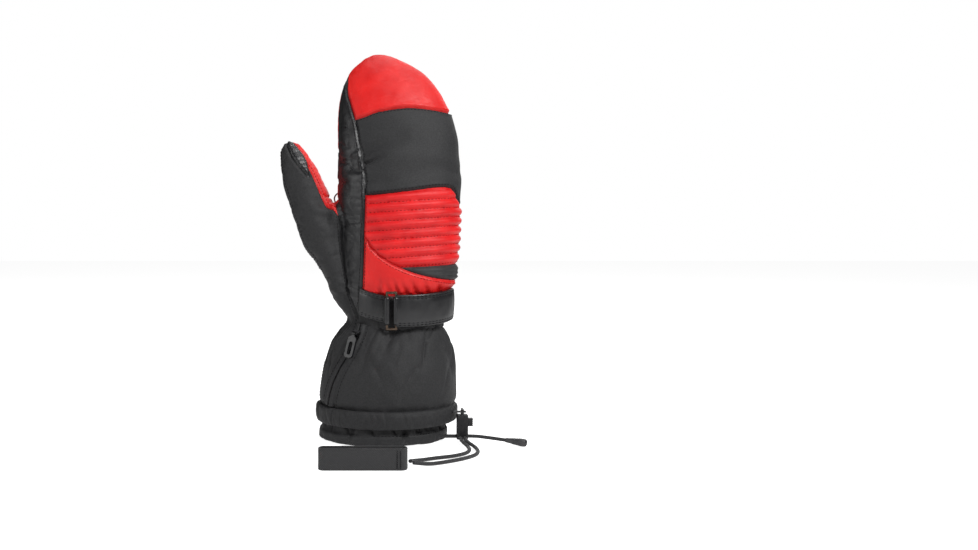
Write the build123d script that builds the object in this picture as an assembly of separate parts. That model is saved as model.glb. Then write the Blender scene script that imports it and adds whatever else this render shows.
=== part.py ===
"""A right-hand gauntlet ski mitten, standing on the hem of its cuff.

Millimetres. +Z runs to the fingertips, -Y out of the back of the hand, +Y out of the palm,
and the thumb is on the -X side. The origin is the middle of the cuff's mouth, on its hem.
"""
from build123d import *
import math
import os

# ---- driving dimensions -------------------------------------------------------------------

WRIST_Z = 100.0          # where the hand part is sewn to the cuff
TIP_Z = 328.0            # top of the fingertips
ROLL_LOW_Z, ROLL_HIGH_Z = 15.0, 31.0    # padded roll round the cuff
TUNNEL_HIGH_Z = 9.0      # top of the drawcord tunnel in the skirt's hem

# Layers of the hand, each a depth below the outer face.
SKIN, PADDING, LINING = 1.6, 6.6, 7.8
CUFF_SKIN, CUFF_PADDING, CUFF_LINING = 1.5, 3.4, 4.4

# Hand sections: height, middle in X, middle in Y, half width, half depth.
HAND_SECTIONS = [
    (100, 8.5, 0.0, 41.0, 30.0),
    (112, 8.7, 0.0, 42.0, 30.2),
    (126, 9.2, 0.0, 43.0, 30.5),
    (135, 10.8, 0.1, 46.3, 31.0),
    (154, 11.2, 0.4, 49.3, 31.5),
    (190, 10.8, 1.0, 50.5, 31.5),
    (230, 10.8, 3.5, 50.4, 29.5),
    (262, 9.0, 8.0, 48.5, 26.5),
    (286, 5.6, 12.5, 44.4, 23.0),
    (300, 3.5, 15.0, 39.0, 19.5),
    (312, 0.5, 17.5, 30.6, 15.5),
    (321, -2.6, 19.5, 20.0, 10.5),
    (326.5, -5.5, 20.5, 10.0, 5.5),
    (328, -6.5, 20.8, 5.5, 3.0),
]
HAND_HALF_WIDTH, HAND_HALF_DEPTH = 50.5, 31.5

# Cuff sections, from the roll up to the wrist, in the same order.
CUFF_SECTIONS = [
    (31, 1.5, 0.0, 58.8, 44.0),
    (60, 3.5, 0.0, 56.5, 42.0),
    (80, 4.2, 0.0, 52.8, 38.0),
    (92, 6.4, 0.0, 46.6, 33.3),
    (100, 8.5, 0.0, 42.0, 30.5),
]
SKIRT_MID_X, SKIRT_HALF_WIDTH, SKIRT_HALF_DEPTH = -2.0, 54.5, 41.5
ROLL_MID_X, ROLL_HALF_WIDTH, ROLL_HALF_DEPTH = 0.5, 61.5, 46.5
SKIRT_THICK = 1.6

# The thumb is a tapering tube on a straight axis: distance along it, half width, half depth.
THUMB_FOOT = Vector(-37.5, 5.0, 128.0)
THUMB_TOP = Vector(-84.0, 17.0, 248.5)
THUMB_SECTIONS = [
    (-0.200, 6.0, 12.0),
    (-0.070, 9.6, 15.5),
    (0.060, 10.6, 18.0),
    (0.200, 14.4, 20.3),
    (0.350, 18.8, 21.3),
    (0.480, 18.4, 20.9),
    (0.600, 17.5, 19.5),
    (0.700, 16.6, 18.0),
    (0.800, 14.8, 15.8),
    (0.890, 12.0, 12.6),
    (0.950, 9.2, 9.6),
    (0.985, 5.8, 6.0),
    (1.000, 3.0, 3.2),
]
THUMB_HALF_WIDTH = 18.8

# Joints.
KNUCKLE = Vector(10.8, 1.0, 190.0)      # the fingers curl about a line along X through here
KNUCKLE_RADIUS = 33.5
THUMB_JOINT_SHARE = 0.33                # where along the thumb it bends
THUMB_JOINT_RADIUS = 22.6
SOFT_GAP = 0.5                          # room between soft bodies that move on each other

# Wrist strap, round the wrist's own oval.
STRAP_LOW_Z, STRAP_HIGH_Z = 98.0, 125.0
STRAP_MID_X = 8.8
STRAP_HALF_WIDTH, STRAP_HALF_DEPTH = 43.8, 31.1
STRAP_THICK, PATCH_THICK, PATCH_GAP = 1.8, 0.9, 0.2
BUCKLE_TAB_X, BUCKLE_FLAP_X, BUCKLE_Y = 0.5, 8.0, -34.3
BUCKLE_BAR, SLEEVE_BORE, SLEEVE_OUTSIDE = 1.1, 1.22, 2.6

# Side zip, as its middle line is seen from the back of the hand: (x, z) from the wrist down.
ZIP_LINE = [(-20.5, 99.0), (-24.0, 88.0), (-30.5, 75.0), (-38.0, 62.0), (-44.5, 46.0), (-47.5, 31.0)]
ZIP_TAPE_WIDE, ZIP_TAPE_THICK, ZIP_TEETH_WIDE, ZIP_TEETH_THICK = 8.6, 0.7, 3.0, 1.9
ZIP_SLIDER_LONG, ZIP_SLIDER_WIDE, ZIP_SLIDER_HIGH, ZIP_SLIDER_Z = 8.0, 6.2, 2.0, 89.5

# Cord lock and cords.
CORD = 3.0               # diameter of both elastic cords
LOCK_MIDDLE = Vector(63.8, -20.0, 12.5)
LOCK_WIDE, LOCK_DEEP, LOCK_HIGH = 9.6, 7.6, 21.0
BUTTON_REACH, BUTTON_TRAVEL = 4.0, 2.6
CORD_EXIT_Z = 4.4        # the drawcord's height where it leaves the hem and passes the lock
BAND_RIGHT = Vector(16.0, -103.0, 0)    # the webbing loop's sewn end, where both strands go in
BAND_LONG, BAND_HIGH, BAND_THICK, BAND_OPEN = 67.0, 16.5, 1.4, 7.0

# Pole ring and the leather bar that holds it, beside the crotch of the thumb on the palm side.
BAR_HIGH, BAR_LOW = Vector(-33.5, 19.6, 214.3), Vector(-39.8, 10.8, 193.0)
BAR_RADIUS, BAR_TURN_RADIUS = 2.3, 0.7
RING_WIRE, RING_RADIUS, RING_OFFSET = 0.65, 5.7, 2.8

os.makedirs("parts", exist_ok=True)
made = {}


def keep(name, shape):
    """Writes one sub-part, as its solids only."""
    solids = [s for s in shape.solids() if s.volume > 0.5]
    made[name] = solids[0] if len(solids) == 1 else Compound(children=solids)
    made[name].label = name
    export_step(made[name], f"parts/{name}.step")


# ---- shapes that several sub-parts share --------------------------------------------------

def oval(z, x, y, half_width, half_depth):
    return Plane.XY.offset(z) * (Pos(x, y) * Ellipse(half_width, half_depth))


def oval_tube(x, half_width, half_depth, thick, low, high):
    """An upright oval tube; thick is measured inwards."""
    outside = extrude(oval(low, x, 0, half_width, half_depth), high - low)
    return outside - extrude(oval(low - 1, x, 0, half_width - thick, half_depth - thick), high - low + 2)


def box_between(low, high):
    size = Vector(*high) - Vector(*low)
    middle = (Vector(*high) + Vector(*low)) / 2
    return Pos(*middle) * Box(*size)


def wedge(x, from_deg, to_deg, low, high, reach=150.0):
    """The upright sector between two bearings about (x, 0). Bearing 0 is -Y and 90 is +X."""
    steps = 6
    rim = [from_deg + (to_deg - from_deg) * i / steps for i in range(steps + 1)]
    points = [(x, 0)] + [(x + reach * math.sin(math.radians(d)), -reach * math.cos(math.radians(d))) for d in rim]
    return extrude(Plane.XY.offset(low) * make_face(Polyline(*points, close=True)), high - low)


def seen_from_back(*outline, low_y=-80.0, high_y=0.0):
    """A prism through the mitten along Y, from an outline of (x, z) points."""
    face = Plane.XZ * make_face(Polyline(*outline, close=True))
    return extrude(Pos(0, high_y, 0) * face, high_y - low_y)


def hand_form(depth):
    """The whole hand and fingers, shrunk evenly so that its face lies depth below the outside."""
    wide = (HAND_HALF_WIDTH - depth) / HAND_HALF_WIDTH
    deep = (HAND_HALF_DEPTH - depth) / HAND_HALF_DEPTH
    tall = (TIP_Z - depth - WRIST_Z) / (TIP_Z - WRIST_Z)
    sections = [oval(WRIST_Z + (z - WRIST_Z) * tall, x, y, a * wide, b * deep) for z, x, y, a, b in HAND_SECTIONS]
    form = loft(sections)
    if depth:
        first = HAND_SECTIONS[0]
        form += extrude(oval(WRIST_Z - 5, first[1], first[2], first[3] * wide, first[4] * deep), 5)
    return form


def hand_layer(outer, inner):
    return (hand_form(outer) - hand_form(inner)) & box_between((-90, -90, WRIST_Z), (90, 90, 400))


def cuff_form(depth, low, high):
    inside = [oval(z, x, y, a - depth, b - depth) for z, x, y, a, b in CUFF_SECTIONS]
    form = loft(inside)
    if depth:
        z, x, y, a, b = CUFF_SECTIONS[0]
        form += extrude(oval(z - 5, x, y, a - depth, b - depth), 5)
        z, x, y, a, b = CUFF_SECTIONS[-1]
        form += extrude(oval(z, x, y, a - depth, b - depth), 5)
    return form & box_between((-90, -90, low), (90, 90, high))


def cuff_layer(outer, inner):
    return cuff_form(outer, ROLL_HIGH_Z, WRIST_Z) - cuff_form(inner, ROLL_HIGH_Z - 4, WRIST_Z + 4)


thumb_axis = (THUMB_TOP - THUMB_FOOT).normalized()
thumb_length = (THUMB_TOP - THUMB_FOOT).length
thumb_across = Vector(0, 1, 0).cross(thumb_axis).normalized()       # across the thumb, towards the hand
thumb_joint = THUMB_FOOT + thumb_axis * (thumb_length * THUMB_JOINT_SHARE)


def thumb_form(depth):
    narrow = (THUMB_HALF_WIDTH - depth) / THUMB_HALF_WIDTH
    length = thumb_length - depth
    sections = []
    for share, half_width, half_depth in THUMB_SECTIONS:
        plane = Plane(origin=THUMB_FOOT + thumb_axis * (share * length), x_dir=thumb_across, z_dir=thumb_axis)
        sections.append(plane * Ellipse(half_depth * narrow, half_width * narrow, rotation=90))
    form = loft(sections)
    if depth:
        plane = Plane(origin=THUMB_FOOT - thumb_axis * 12, x_dir=thumb_across, z_dir=thumb_axis)
        first = THUMB_SECTIONS[0]
        form += extrude(plane * Ellipse(first[2] * narrow, first[1] * narrow, rotation=90), 12)
    return form


def rod(start, end, radius):
    start, end = Vector(*start), Vector(*end)
    return extrude(Plane(origin=start, z_dir=end - start) * Circle(radius), (end - start).length)


def knuckle_barrel(radius):
    return rod(KNUCKLE - Vector(90, 0, 0), KNUCKLE + Vector(90, 0, 0), radius)


above_knuckle = box_between((-90, -90, KNUCKLE.Z), (110, 90, 400))
below_knuckle = box_between((-90, -90, 0), (110, 90, KNUCKLE.Z))


def in_hand(shape):
    """The part of a layer that stays with the palm."""
    return (shape & below_knuckle) + (shape & above_knuckle & knuckle_barrel(KNUCKLE_RADIUS))


def in_fingers(shape):
    return (shape & above_knuckle) - knuckle_barrel(KNUCKLE_RADIUS + SOFT_GAP)


def thumb_barrel(radius):
    return rod(thumb_joint - thumb_across * 40, thumb_joint + thumb_across * 40, radius)


def beyond_thumb_joint():
    plane = Plane(origin=thumb_joint, x_dir=thumb_across, z_dir=thumb_axis)
    return plane * Pos(0, 0, 75) * Box(110, 110, 150)


# ---- cuff ---------------------------------------------------------------------------------

def make_cuff():
    skin = cuff_layer(0, CUFF_SKIN)
    middle = CUFF_SECTIONS[1][1]
    panels = {"cuff_side_panel": (-152, -50), "cuff_back_panel": (-50, 118), "cuff_palm_panel": (118, 208)}
    for name, (start, end) in panels.items():
        keep(name, skin & wedge(middle, start, end, 0, 120))
    keep("cuff_padding", cuff_layer(CUFF_SKIN, CUFF_PADDING))
    keep("cuff_lining", cuff_layer(CUFF_PADDING, CUFF_LINING))
    skirt = SKIRT_HALF_WIDTH - 1, SKIRT_HALF_DEPTH - 1
    roll = extrude(oval(ROLL_LOW_Z, ROLL_MID_X, 0, ROLL_HALF_WIDTH, ROLL_HALF_DEPTH), ROLL_HIGH_Z - ROLL_LOW_Z)
    roll = fillet(roll.edges(), 4.5)
    keep("hem_roll", roll - extrude(oval(0, SKIRT_MID_X, 0, *skirt), 60))
    keep("snow_skirt", oval_tube(SKIRT_MID_X, *skirt, SKIRT_THICK, TUNNEL_HIGH_Z, ROLL_HIGH_Z))


def make_hem_tunnel():
    """The folded hem at the foot of the skirt, with the drawcord inside and an eyelet for its tail."""
    outer = oval_tube(SKIRT_MID_X, SKIRT_HALF_WIDTH, SKIRT_HALF_DEPTH, 5.4, 0, TUNNEL_HIGH_Z)
    hollow = oval_tube(SKIRT_MID_X, SKIRT_HALF_WIDTH - 1, SKIRT_HALF_DEPTH - 1, 3.4, 1.2, TUNNEL_HIGH_Z - 1.6)
    exit_y, exit_z = LOCK_MIDDLE.Y, CORD_EXIT_Z
    eyelet = rod((30, exit_y, exit_z), (70, exit_y, exit_z), CORD / 2 + 0.2)
    keep("skirt_tunnel", outer - hollow - eyelet)
    ring = oval_tube(SKIRT_MID_X, SKIRT_HALF_WIDTH - 1.3, SKIRT_HALF_DEPTH - 1.3, 2.6, exit_z - 1.3, exit_z + 1.3)
    out = rod((44.0, exit_y, exit_z), (LOCK_MIDDLE.X - LOCK_WIDE / 2, exit_y, exit_z), CORD / 2)
    keep("hem_drawcord", ring + out)


# ---- hand ---------------------------------------------------------------------------------

THUMB_SEAM = [(-24.0, 96), (-21.5, 150), (-22.0, 205), (-24.0, 255), (-30.0, 281), (-37.0, 300), (-46.0, 312)]
RIB_TOP_Z, RIB_LOW_Z = 201.5, 141.0
SWOOSH = [(-24.0, 170), (-6.0, 150), (16.0, 138), (40.0, 131), (70.0, 129)]
TIP_SEAM = [(-60.0, 266), (-26.0, 270), (10.0, 275), (80.0, 272)]
PALM_PINKY_X = 37.0
PALM_TOP = [(PALM_PINKY_X, 245), (30, 272), (12, 292), (-10, 303), (-30, 303), (-60, 300)]
BAND_TOP = [(60, 213), (34, 216), (-60, 245)]
BAND_LOW = [(60, 171), (12, 172), (-7, 184), (-40, 217), (-60, 236)]
SIDE_SEAM = 0.2          # the back panels wrap round to this share of the half depth past the middle


def behind_side_seam():
    """Everything on the back of the hand's side of a seam that follows the curl of the fingers."""
    seam = [(y + SIDE_SEAM * b, z) for z, x, y, a, b in HAND_SECTIONS]
    outline = [(-80, 90), (seam[0][0], 90)] + seam + [(seam[-1][0], 340), (-80, 340)]
    face = Plane.YZ * make_face(Polyline(*outline, close=True))
    return extrude(Pos(-100, 0, 0) * face, 220)


def make_hand():
    skin = hand_layer(0, SKIN)
    thumb_hole = thumb_form(LINING)
    hand_skin = in_hand(skin) - thumb_hole
    finger_skin = in_fingers(skin)

    back_half = behind_side_seam()

    def back_face(outline):
        return seen_from_back(*outline, high_y=60) & back_half

    back = back_face(THUMB_SEAM + [(-46, 340), (90, 340), (90, 96)])
    palm = seen_from_back((-90, 96), (PALM_PINKY_X, 96), *PALM_TOP, (-90, 300), low_y=-30, high_y=80) - back_half
    tip_zone = back_face(TIP_SEAM + [(80, 340), (-60, 340)])
    low_zone = back_face([(-60, 96), (-60, 174)] + SWOOSH + [(70, 96)])
    rib_zone = back_face([(-60, RIB_LOW_Z), (90, RIB_LOW_Z), (90, 240), (-60, 240)]) - low_zone
    band_zone = seen_from_back(*BAND_LOW, *reversed(BAND_TOP), low_y=-30, high_y=80)

    hand_back = hand_skin & back
    keep("knuckle_quilt", hand_back & rib_zone)
    keep("back_lower_panel", hand_back & low_zone)
    keep("flex_panel", (hand_back - rib_zone) - low_zone)
    keep("palm_band", (hand_skin & palm) & band_zone)
    keep("palm_leather", (hand_skin & palm) - band_zone)
    side = (hand_skin - back) - palm
    keep("gusset_thumb_side", side & box_between((-90, -90, 0), (0, 90, 400)))
    keep("gusset_little_finger_side", side & box_between((0, -90, 0), (90, 90, 400)))

    finger_back = finger_skin & back
    keep("fingertip_panel", finger_back & tip_zone)
    keep("finger_back_panel", finger_back - tip_zone)
    keep("finger_band", (finger_skin & palm) & band_zone)
    keep("finger_palm_leather", (finger_skin & palm) - band_zone)
    keep("finger_gusset", (finger_skin - back) - palm)

    for word, outer, inner in (("padding", SKIN, PADDING), ("lining", PADDING, LINING)):
        layer = hand_layer(outer, inner)
        keep(f"hand_{word}", in_hand(layer) - thumb_hole)
        keep(f"finger_{word}", in_fingers(layer))


def make_thumb():
    hand = hand_form(0)
    joint = beyond_thumb_joint()
    near, far = thumb_barrel(THUMB_JOINT_RADIUS), thumb_barrel(THUMB_JOINT_RADIUS + SOFT_GAP)
    skin = (thumb_form(0) - thumb_form(SKIN)) - hand
    padding = (thumb_form(SKIN) - thumb_form(PADDING)) - hand
    lining = (thumb_form(PADDING) - thumb_form(LINING)) - hand
    on_thumb = Plane(origin=THUMB_FOOT, x_dir=thumb_across, z_dir=thumb_axis)
    palm_side = on_thumb * Pos(0, 60, 60) * Box(120, 120, 300)
    tip_zone = on_thumb * Pos(10, -20, 118) * Box(26, 60, 50)
    outer_zone = on_thumb * Pos(-22, 3, 60) * Box(24, 18, 300)

    def base(layer):
        return (layer - joint) + (layer & joint & near)

    def free(layer):
        return (layer & joint) - far

    keep("thumb_base_back", base(skin) - palm_side)
    keep("thumb_base_palm", base(skin) & palm_side)
    keep("thumb_base_padding", base(padding + lining))
    free_skin = free(skin)
    keep("thumb_outer_strip", free_skin & outer_zone)
    free_skin -= outer_zone
    keep("thumb_back", (free_skin - palm_side) - tip_zone)
    keep("thumb_tip_patch", (free_skin - palm_side) & tip_zone)
    keep("thumb_palm", free_skin & palm_side)
    keep("thumb_padding", free(padding))
    keep("thumb_lining", free(lining))


# ---- wrist strap --------------------------------------------------------------------------

def strap_arc(depth, thick, from_deg, to_deg, low=STRAP_LOW_Z, high=STRAP_HIGH_Z):
    """Part of an oval tube whose inner face stands depth off the strap's own oval."""
    grown = depth + thick
    tube = oval_tube(STRAP_MID_X, STRAP_HALF_WIDTH + grown, STRAP_HALF_DEPTH + grown, thick, low, high)
    return tube & wedge(STRAP_MID_X, from_deg, to_deg, low - 1, high + 1)


def upright_rod(x, radius, low, high):
    return rod((x, BUCKLE_Y, low), (x, BUCKLE_Y, high), radius)


def make_strap():
    low, high = STRAP_LOW_Z + 2, STRAP_HIGH_Z - 2
    tab_bore = upright_rod(BUCKLE_TAB_X, SLEEVE_BORE, low - 5, high + 5)
    tab_sleeve = upright_rod(BUCKLE_TAB_X, SLEEVE_OUTSIDE, low, high)
    keep("strap_tab", strap_arc(0.3, STRAP_THICK, -46, -14, low, high) + tab_sleeve - tab_bore)
    flap_bore = upright_rod(BUCKLE_FLAP_X, SLEEVE_BORE, low - 5, high + 5)
    flap_sleeve = upright_rod(BUCKLE_FLAP_X, SLEEVE_OUTSIDE, low, high)

    under, patch = STRAP_THICK, PATCH_THICK
    keep("strap_under", strap_arc(0, under, 6, 100))
    keep("loop_patch", strap_arc(under, patch, 16, 84, low, high))
    keep("hook_patch", strap_arc(under + patch + PATCH_GAP, patch, 18, 70, low, high))
    flap = strap_arc(under + 2 * patch + PATCH_GAP, STRAP_THICK, -3, 86)
    keep("strap_flap", flap + flap_sleeve - flap_bore)

    bar_low, bar_high = low - 3.4, high + 3.4
    ring = upright_rod(BUCKLE_TAB_X, BUCKLE_BAR, bar_low, bar_high)
    ring += upright_rod(BUCKLE_FLAP_X, BUCKLE_BAR, bar_low, bar_high)
    for z in (bar_low, bar_high):
        ring += rod((BUCKLE_TAB_X, BUCKLE_Y, z), (BUCKLE_FLAP_X, BUCKLE_Y, z), BUCKLE_BAR)
        for x in (BUCKLE_TAB_X, BUCKLE_FLAP_X):
            ring += Pos(x, BUCKLE_Y, z) * Sphere(BUCKLE_BAR)
    keep("strap_ring", ring)

    elastic = oval_tube(STRAP_MID_X, STRAP_HALF_WIDTH + 0.9, STRAP_HALF_DEPTH + 1.1, 0.9, 103, 116)
    keep("wrist_elastic", elastic & wedge(STRAP_MID_X, 106, 240, 90, 130) - thumb_form(0))


# ---- zip ----------------------------------------------------------------------------------

def zip_band(wide):
    """A band along the zip's line, of an even width as seen from the back."""
    left, right = [], []
    for i, (x, z) in enumerate(ZIP_LINE):
        before, after = ZIP_LINE[max(i - 1, 0)], ZIP_LINE[min(i + 1, len(ZIP_LINE) - 1)]
        along = Vector(after[0] - before[0], after[1] - before[1]).normalized()
        left.append((x + along.Y * wide / 2, z - along.X * wide / 2))
        right.append((x - along.Y * wide / 2, z + along.X * wide / 2))
    edge = [Spline(*left), Line(left[-1], right[-1]), Spline(*reversed(right)), Line(right[0], left[0])]
    return extrude(Plane.XZ * make_face(edge), 80)


def cuff_surface(x, z):
    """The point on the back of the cuff at (x, z)."""
    for (z1, x1, _, a1, b1), (z2, x2, _, a2, b2) in zip(CUFF_SECTIONS, CUFF_SECTIONS[1:]):
        if z1 <= z <= z2:
            t = (z - z1) / (z2 - z1)
            mid, a, b = x1 + (x2 - x1) * t, a1 + (a2 - a1) * t, b1 + (b2 - b1) * t
            return Vector(x, -b * math.sqrt(1 - ((x - mid) / a) ** 2), z)


def make_zip():
    tape = cuff_form(-ZIP_TAPE_THICK, ROLL_HIGH_Z, WRIST_Z) - cuff_form(0, ROLL_HIGH_Z - 4, WRIST_Z + 4)
    keep("zip_tape", tape & zip_band(ZIP_TAPE_WIDE))
    teeth = cuff_form(-ZIP_TEETH_THICK, ROLL_HIGH_Z, WRIST_Z) \
        - cuff_form(-ZIP_TAPE_THICK, ROLL_HIGH_Z - 4, WRIST_Z + 4)
    keep("zip_teeth", teeth & zip_band(ZIP_TEETH_WIDE) & box_between((-90, -90, 34), (90, 90, 96)))

    # The slider's own plane: X down the zip, Z out of the cuff.
    above, below = cuff_surface(-22.5, ZIP_SLIDER_Z + 5), cuff_surface(-25.9, ZIP_SLIDER_Z - 5)
    middle = cuff_surface(-23.6, ZIP_SLIDER_Z)
    beside = cuff_surface(-20.6, ZIP_SLIDER_Z)
    down = (below - above).normalized()
    out = (beside - middle).cross(down).normalized()
    if out.Y > 0:
        out = out * -1
    floor = middle + out * (ZIP_TEETH_THICK + 0.75)
    plane = Plane(origin=floor, x_dir=down, z_dir=out)
    high = ZIP_SLIDER_HIGH
    slider = fillet(Box(ZIP_SLIDER_LONG, ZIP_SLIDER_WIDE, high).edges().filter_by(Axis.Z), 1.4)
    slider = plane * Pos(0, 0, high / 2) * slider
    pin_high = high + 2.3
    for side in (-1, 1):
        slider += plane * Pos(0, side * 2.35, high + 1.4) * Box(1.8, 1.1, 3.6)
    slider += plane * Pos(0, 0, pin_high) * Rot(90, 0, 0) * Cylinder(0.8, 5.6)
    keep("zip_slider", slider)

    # The puller hangs from the pin down the zip, as a flat tongue with a long slot.
    pin_plane = Plane(origin=floor + out * pin_high, x_dir=down, z_dir=out)
    eye = Rot(90, 0, 0) * Cylinder(1.7, 3.0)
    tongue = Pos(11.5, 0, 0.2) * extrude(RectangleRounded(18.0, 7.6, 2.8), 1.2, both=True)
    tongue -= Pos(12.5, 0, -3) * extrude(SlotOverall(11.0, 3.4), 6)
    neck = Pos(2.2, 0, 0.1) * Box(2.6, 2.8, 1.8)
    puller = tongue + neck + eye - Rot(90, 0, 0) * Cylinder(0.86, 4.0)
    keep("zip_puller", pin_plane * Rot(0, 9, 0) * puller)
    return floor, down, out, pin_plane.origin


# ---- small pieces on the cuff --------------------------------------------------------------

PULL_TOP, PULL_LOW = (-31.0, 106.0), (-52.0, 20.0)
TAG_BEARING, TAG_HINGE_Z, TAG_SIDE, TAG_THICK = 35.0, 61.0, 19.0, 1.2


def make_cuff_trim():
    """The webbing pull strap on the thumb side of the palm, and the leather tag on the other side."""
    lean = math.degrees(math.atan2(PULL_LOW[0] - PULL_TOP[0], PULL_TOP[1] - PULL_LOW[1]))
    long = math.dist(PULL_TOP, PULL_LOW)
    middle = ((PULL_TOP[0] + PULL_LOW[0]) / 2, (PULL_TOP[1] + PULL_LOW[1]) / 2)
    shadow = Plane.XZ * (Pos(*middle) * Rot(0, 0, lean) * Rectangle(9.0, long))
    shell = cuff_form(-1.4, ROLL_HIGH_Z, WRIST_Z) - cuff_form(0, ROLL_HIGH_Z - 4, WRIST_Z + 4)
    keep("pull_strap", shell & extrude(shadow, -80))

    z, x, _, a, b = CUFF_SECTIONS[1]
    turn = math.radians(TAG_BEARING)
    normal = Vector(math.cos(turn) / a, math.sin(turn) / b, 0).normalized()
    hinge = Vector(x + (a + 1.2) * math.cos(turn), (b + 1.2) * math.sin(turn), TAG_HINGE_Z)
    level = Vector(0, 0, 1).cross(normal)
    edge = (level * -math.cos(math.radians(28)) + Vector(0, 0, -1) * math.sin(math.radians(28))).normalized()
    normal = (normal + Vector(0, 0, 0.09)).normalized()
    normal = (normal - edge * normal.dot(edge)).normalized()
    plane = Plane(origin=hinge, x_dir=edge, z_dir=normal)
    down = -1 if plane.y_dir.Z > 0 else 1
    tag = extrude(Pos(0, down * TAG_SIDE / 2) * RectangleRounded(TAG_SIDE, TAG_SIDE, 1.5), TAG_THICK)
    tag += Pos(0, 0, TAG_THICK / 2) * Rot(0, 90, 0) * Cylinder(TAG_THICK / 2, TAG_SIDE - 3)    # the folded, sewn edge
    keep("side_tag", plane * tag)
    return hinge + normal * (TAG_THICK / 2), edge


# ---- pole ring -----------------------------------------------------------------------------

def make_pole_ring():
    """A D-shaped ring whose straight side turns inside the leather bar."""
    axis = (BAR_LOW - BAR_HIGH).normalized()
    middle = (BAR_HIGH + BAR_LOW) / 2
    outward = (Vector(-1, 0, 0) - axis * Vector(-1, 0, 0).dot(axis)).normalized()
    plane = Plane(origin=middle, x_dir=axis, z_dir=axis.cross(outward))      # its Y is outward
    half = math.sqrt(RING_RADIUS ** 2 - RING_OFFSET ** 2)
    ring = Pos(0, RING_OFFSET) * Torus(RING_RADIUS, RING_WIRE) - Pos(0, -10, 0) * Box(30, 20, 10)
    ring += Rot(0, 90, 0) * Cylinder(RING_WIRE, 2 * half)
    for side in (-1, 1):
        ring += Pos(side * half, 0, 0) * Sphere(RING_WIRE)
    keep("pole_ring", plane * ring)

    slots = Rot(0, 90, 0) * Cylinder(BAR_TURN_RADIUS, 2 * half + 1.6)
    for side in (-1, 1):
        slots += Pos(side * 5.35, 6 - 0.9, 0) * Box(2.9, 12, 12)
    bar = rod(BAR_HIGH, BAR_LOW, BAR_RADIUS) - plane * slots
    keep("ring_bar", bar - hand_form(0) - thumb_form(0))
    return middle, axis, outward


# ---- cord lock, drawcord tail and safety leash ---------------------------------------------

def cord_path(points):
    """Straight runs joined by tangent arcs, each as large as its two runs allow."""
    points = [Vector(*p) for p in points]
    radii = []
    for a, b, c in zip(points, points[1:], points[2:]):
        turn = math.radians((b - a).get_angle(c - b))
        radii.append(0.45 * min((b - a).length, (c - b).length) / math.tan(turn / 2))
    print("cord radii", [round(r, 1) for r in radii])
    return FilletPolyline(*points, radius=radii)


def cord_tube(name, points, diameter=CORD):
    path = cord_path(points)
    tube = sweep(Plane(origin=path @ 0, z_dir=path % 0) * Circle(diameter / 2), path=path)
    area = math.pi * diameter ** 2 / 4
    print(name, "length", round(path.length, 1), "volume share", round(tube.volume / (area * path.length), 3))
    keep(name, tube)


LEASH_UPPER = [(62.0, -23.8, 3.5), (62.0, -33.0, 3.5), (67.5, -46, 1.5), (66.0, -61, 1.5), (54, -72, 1.5),
               (40, -77, 1.5), (27, -84, 1.6), (19.0, -92, 3.2), (17.9, -99.3, 5.0)]
LEASH_LOWER = [(65.8, -23.8, 3.5), (65.8, -34.0, 3.5), (73.5, -48, 1.5), (73.0, -66, 1.5), (60, -80, 1.5),
               (44, -90, 1.5), (30, -98, 2.0), (20.2, -102.2, 4.6)]
TAIL = [(68.6, -20, 4.4), (75, -20, 4.4), (82, -21.5, 3.9), (89, -24.5, 3.7), (99, -30.5, 3.6)]


def make_cord_lock():
    x, y, z = LOCK_MIDDLE
    face = x + LOCK_WIDE / 2                       # the button comes out of this side
    body = fillet(Box(LOCK_WIDE, LOCK_DEEP, LOCK_HIGH).edges(), 1.2)
    body = Pos(x, y, z) * body
    well = box_between((face - 5.4, y - 2.7, z + 0.6), (face + 1, y + 2.7, z + 7.4))
    top = z + LOCK_HIGH / 2
    frame = box_between((x - 1.1, y - 3.6, top - 0.5), (x + 1.1, y + 3.6, top + 4.6)) \
        - box_between((x - 2, y - 2.4, top), (x + 2, y + 2.4, top + 2.9))
    keep("cord_lock_body", body - well + frame)
    button = box_between((face - 2.4, y - 2.5, z + 0.8), (face + BUTTON_REACH, y + 2.5, z + 7.2))
    for rib in (2.2, 3.9, 5.6):
        button -= box_between((face + BUTTON_REACH - 0.7, y - 3, z + rib - 0.35),
                              (face + BUTTON_REACH + 1, y + 3, z + rib + 0.35))
    keep("cord_lock_button", button)
    # The tab is sewn to the roll, goes through the lock's frame and back.
    roll = extrude(oval(0, ROLL_MID_X, 0, ROLL_HALF_WIDTH, ROLL_HALF_DEPTH), 60)
    tab = box_between((x - 8, y - 2.2, top + 1.7), (x + 3, y + 2.2, top + 2.7)) - roll
    keep("lock_tab", tab)


def make_cords():
    cord_tube("leash_cord_upper", LEASH_UPPER)
    cord_tube("leash_cord_lower", LEASH_LOWER)
    cord_tube("drawcord_tail", TAIL)
    end = Vector(*TAIL[-1])
    along = (end - Vector(*TAIL[-2])).normalized()
    bell = loft([Plane(origin=end + along * d, z_dir=along) * Circle(r)
                 for d, r in ((0, 2.1), (6, 2.9), (12, 3.55), (18, 3.3))])
    keep("cord_end", bell)


def make_band():
    """The flat webbing loop on edge: two long layers, open between them, sewn together at its right end."""
    low = BAND_RIGHT + Vector(-BAND_LONG, 0, 0)
    outline = Pos(low.X + BAND_LONG / 2, low.Y) * SlotOverall(BAND_LONG, BAND_OPEN + 2 * BAND_THICK)
    inside = Pos(low.X + BAND_LONG / 2, low.Y) * SlotOverall(BAND_LONG - 2 * BAND_THICK, BAND_OPEN)
    keep("leash_band", extrude(outline, BAND_HIGH) - extrude(inside, BAND_HIGH))


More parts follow.
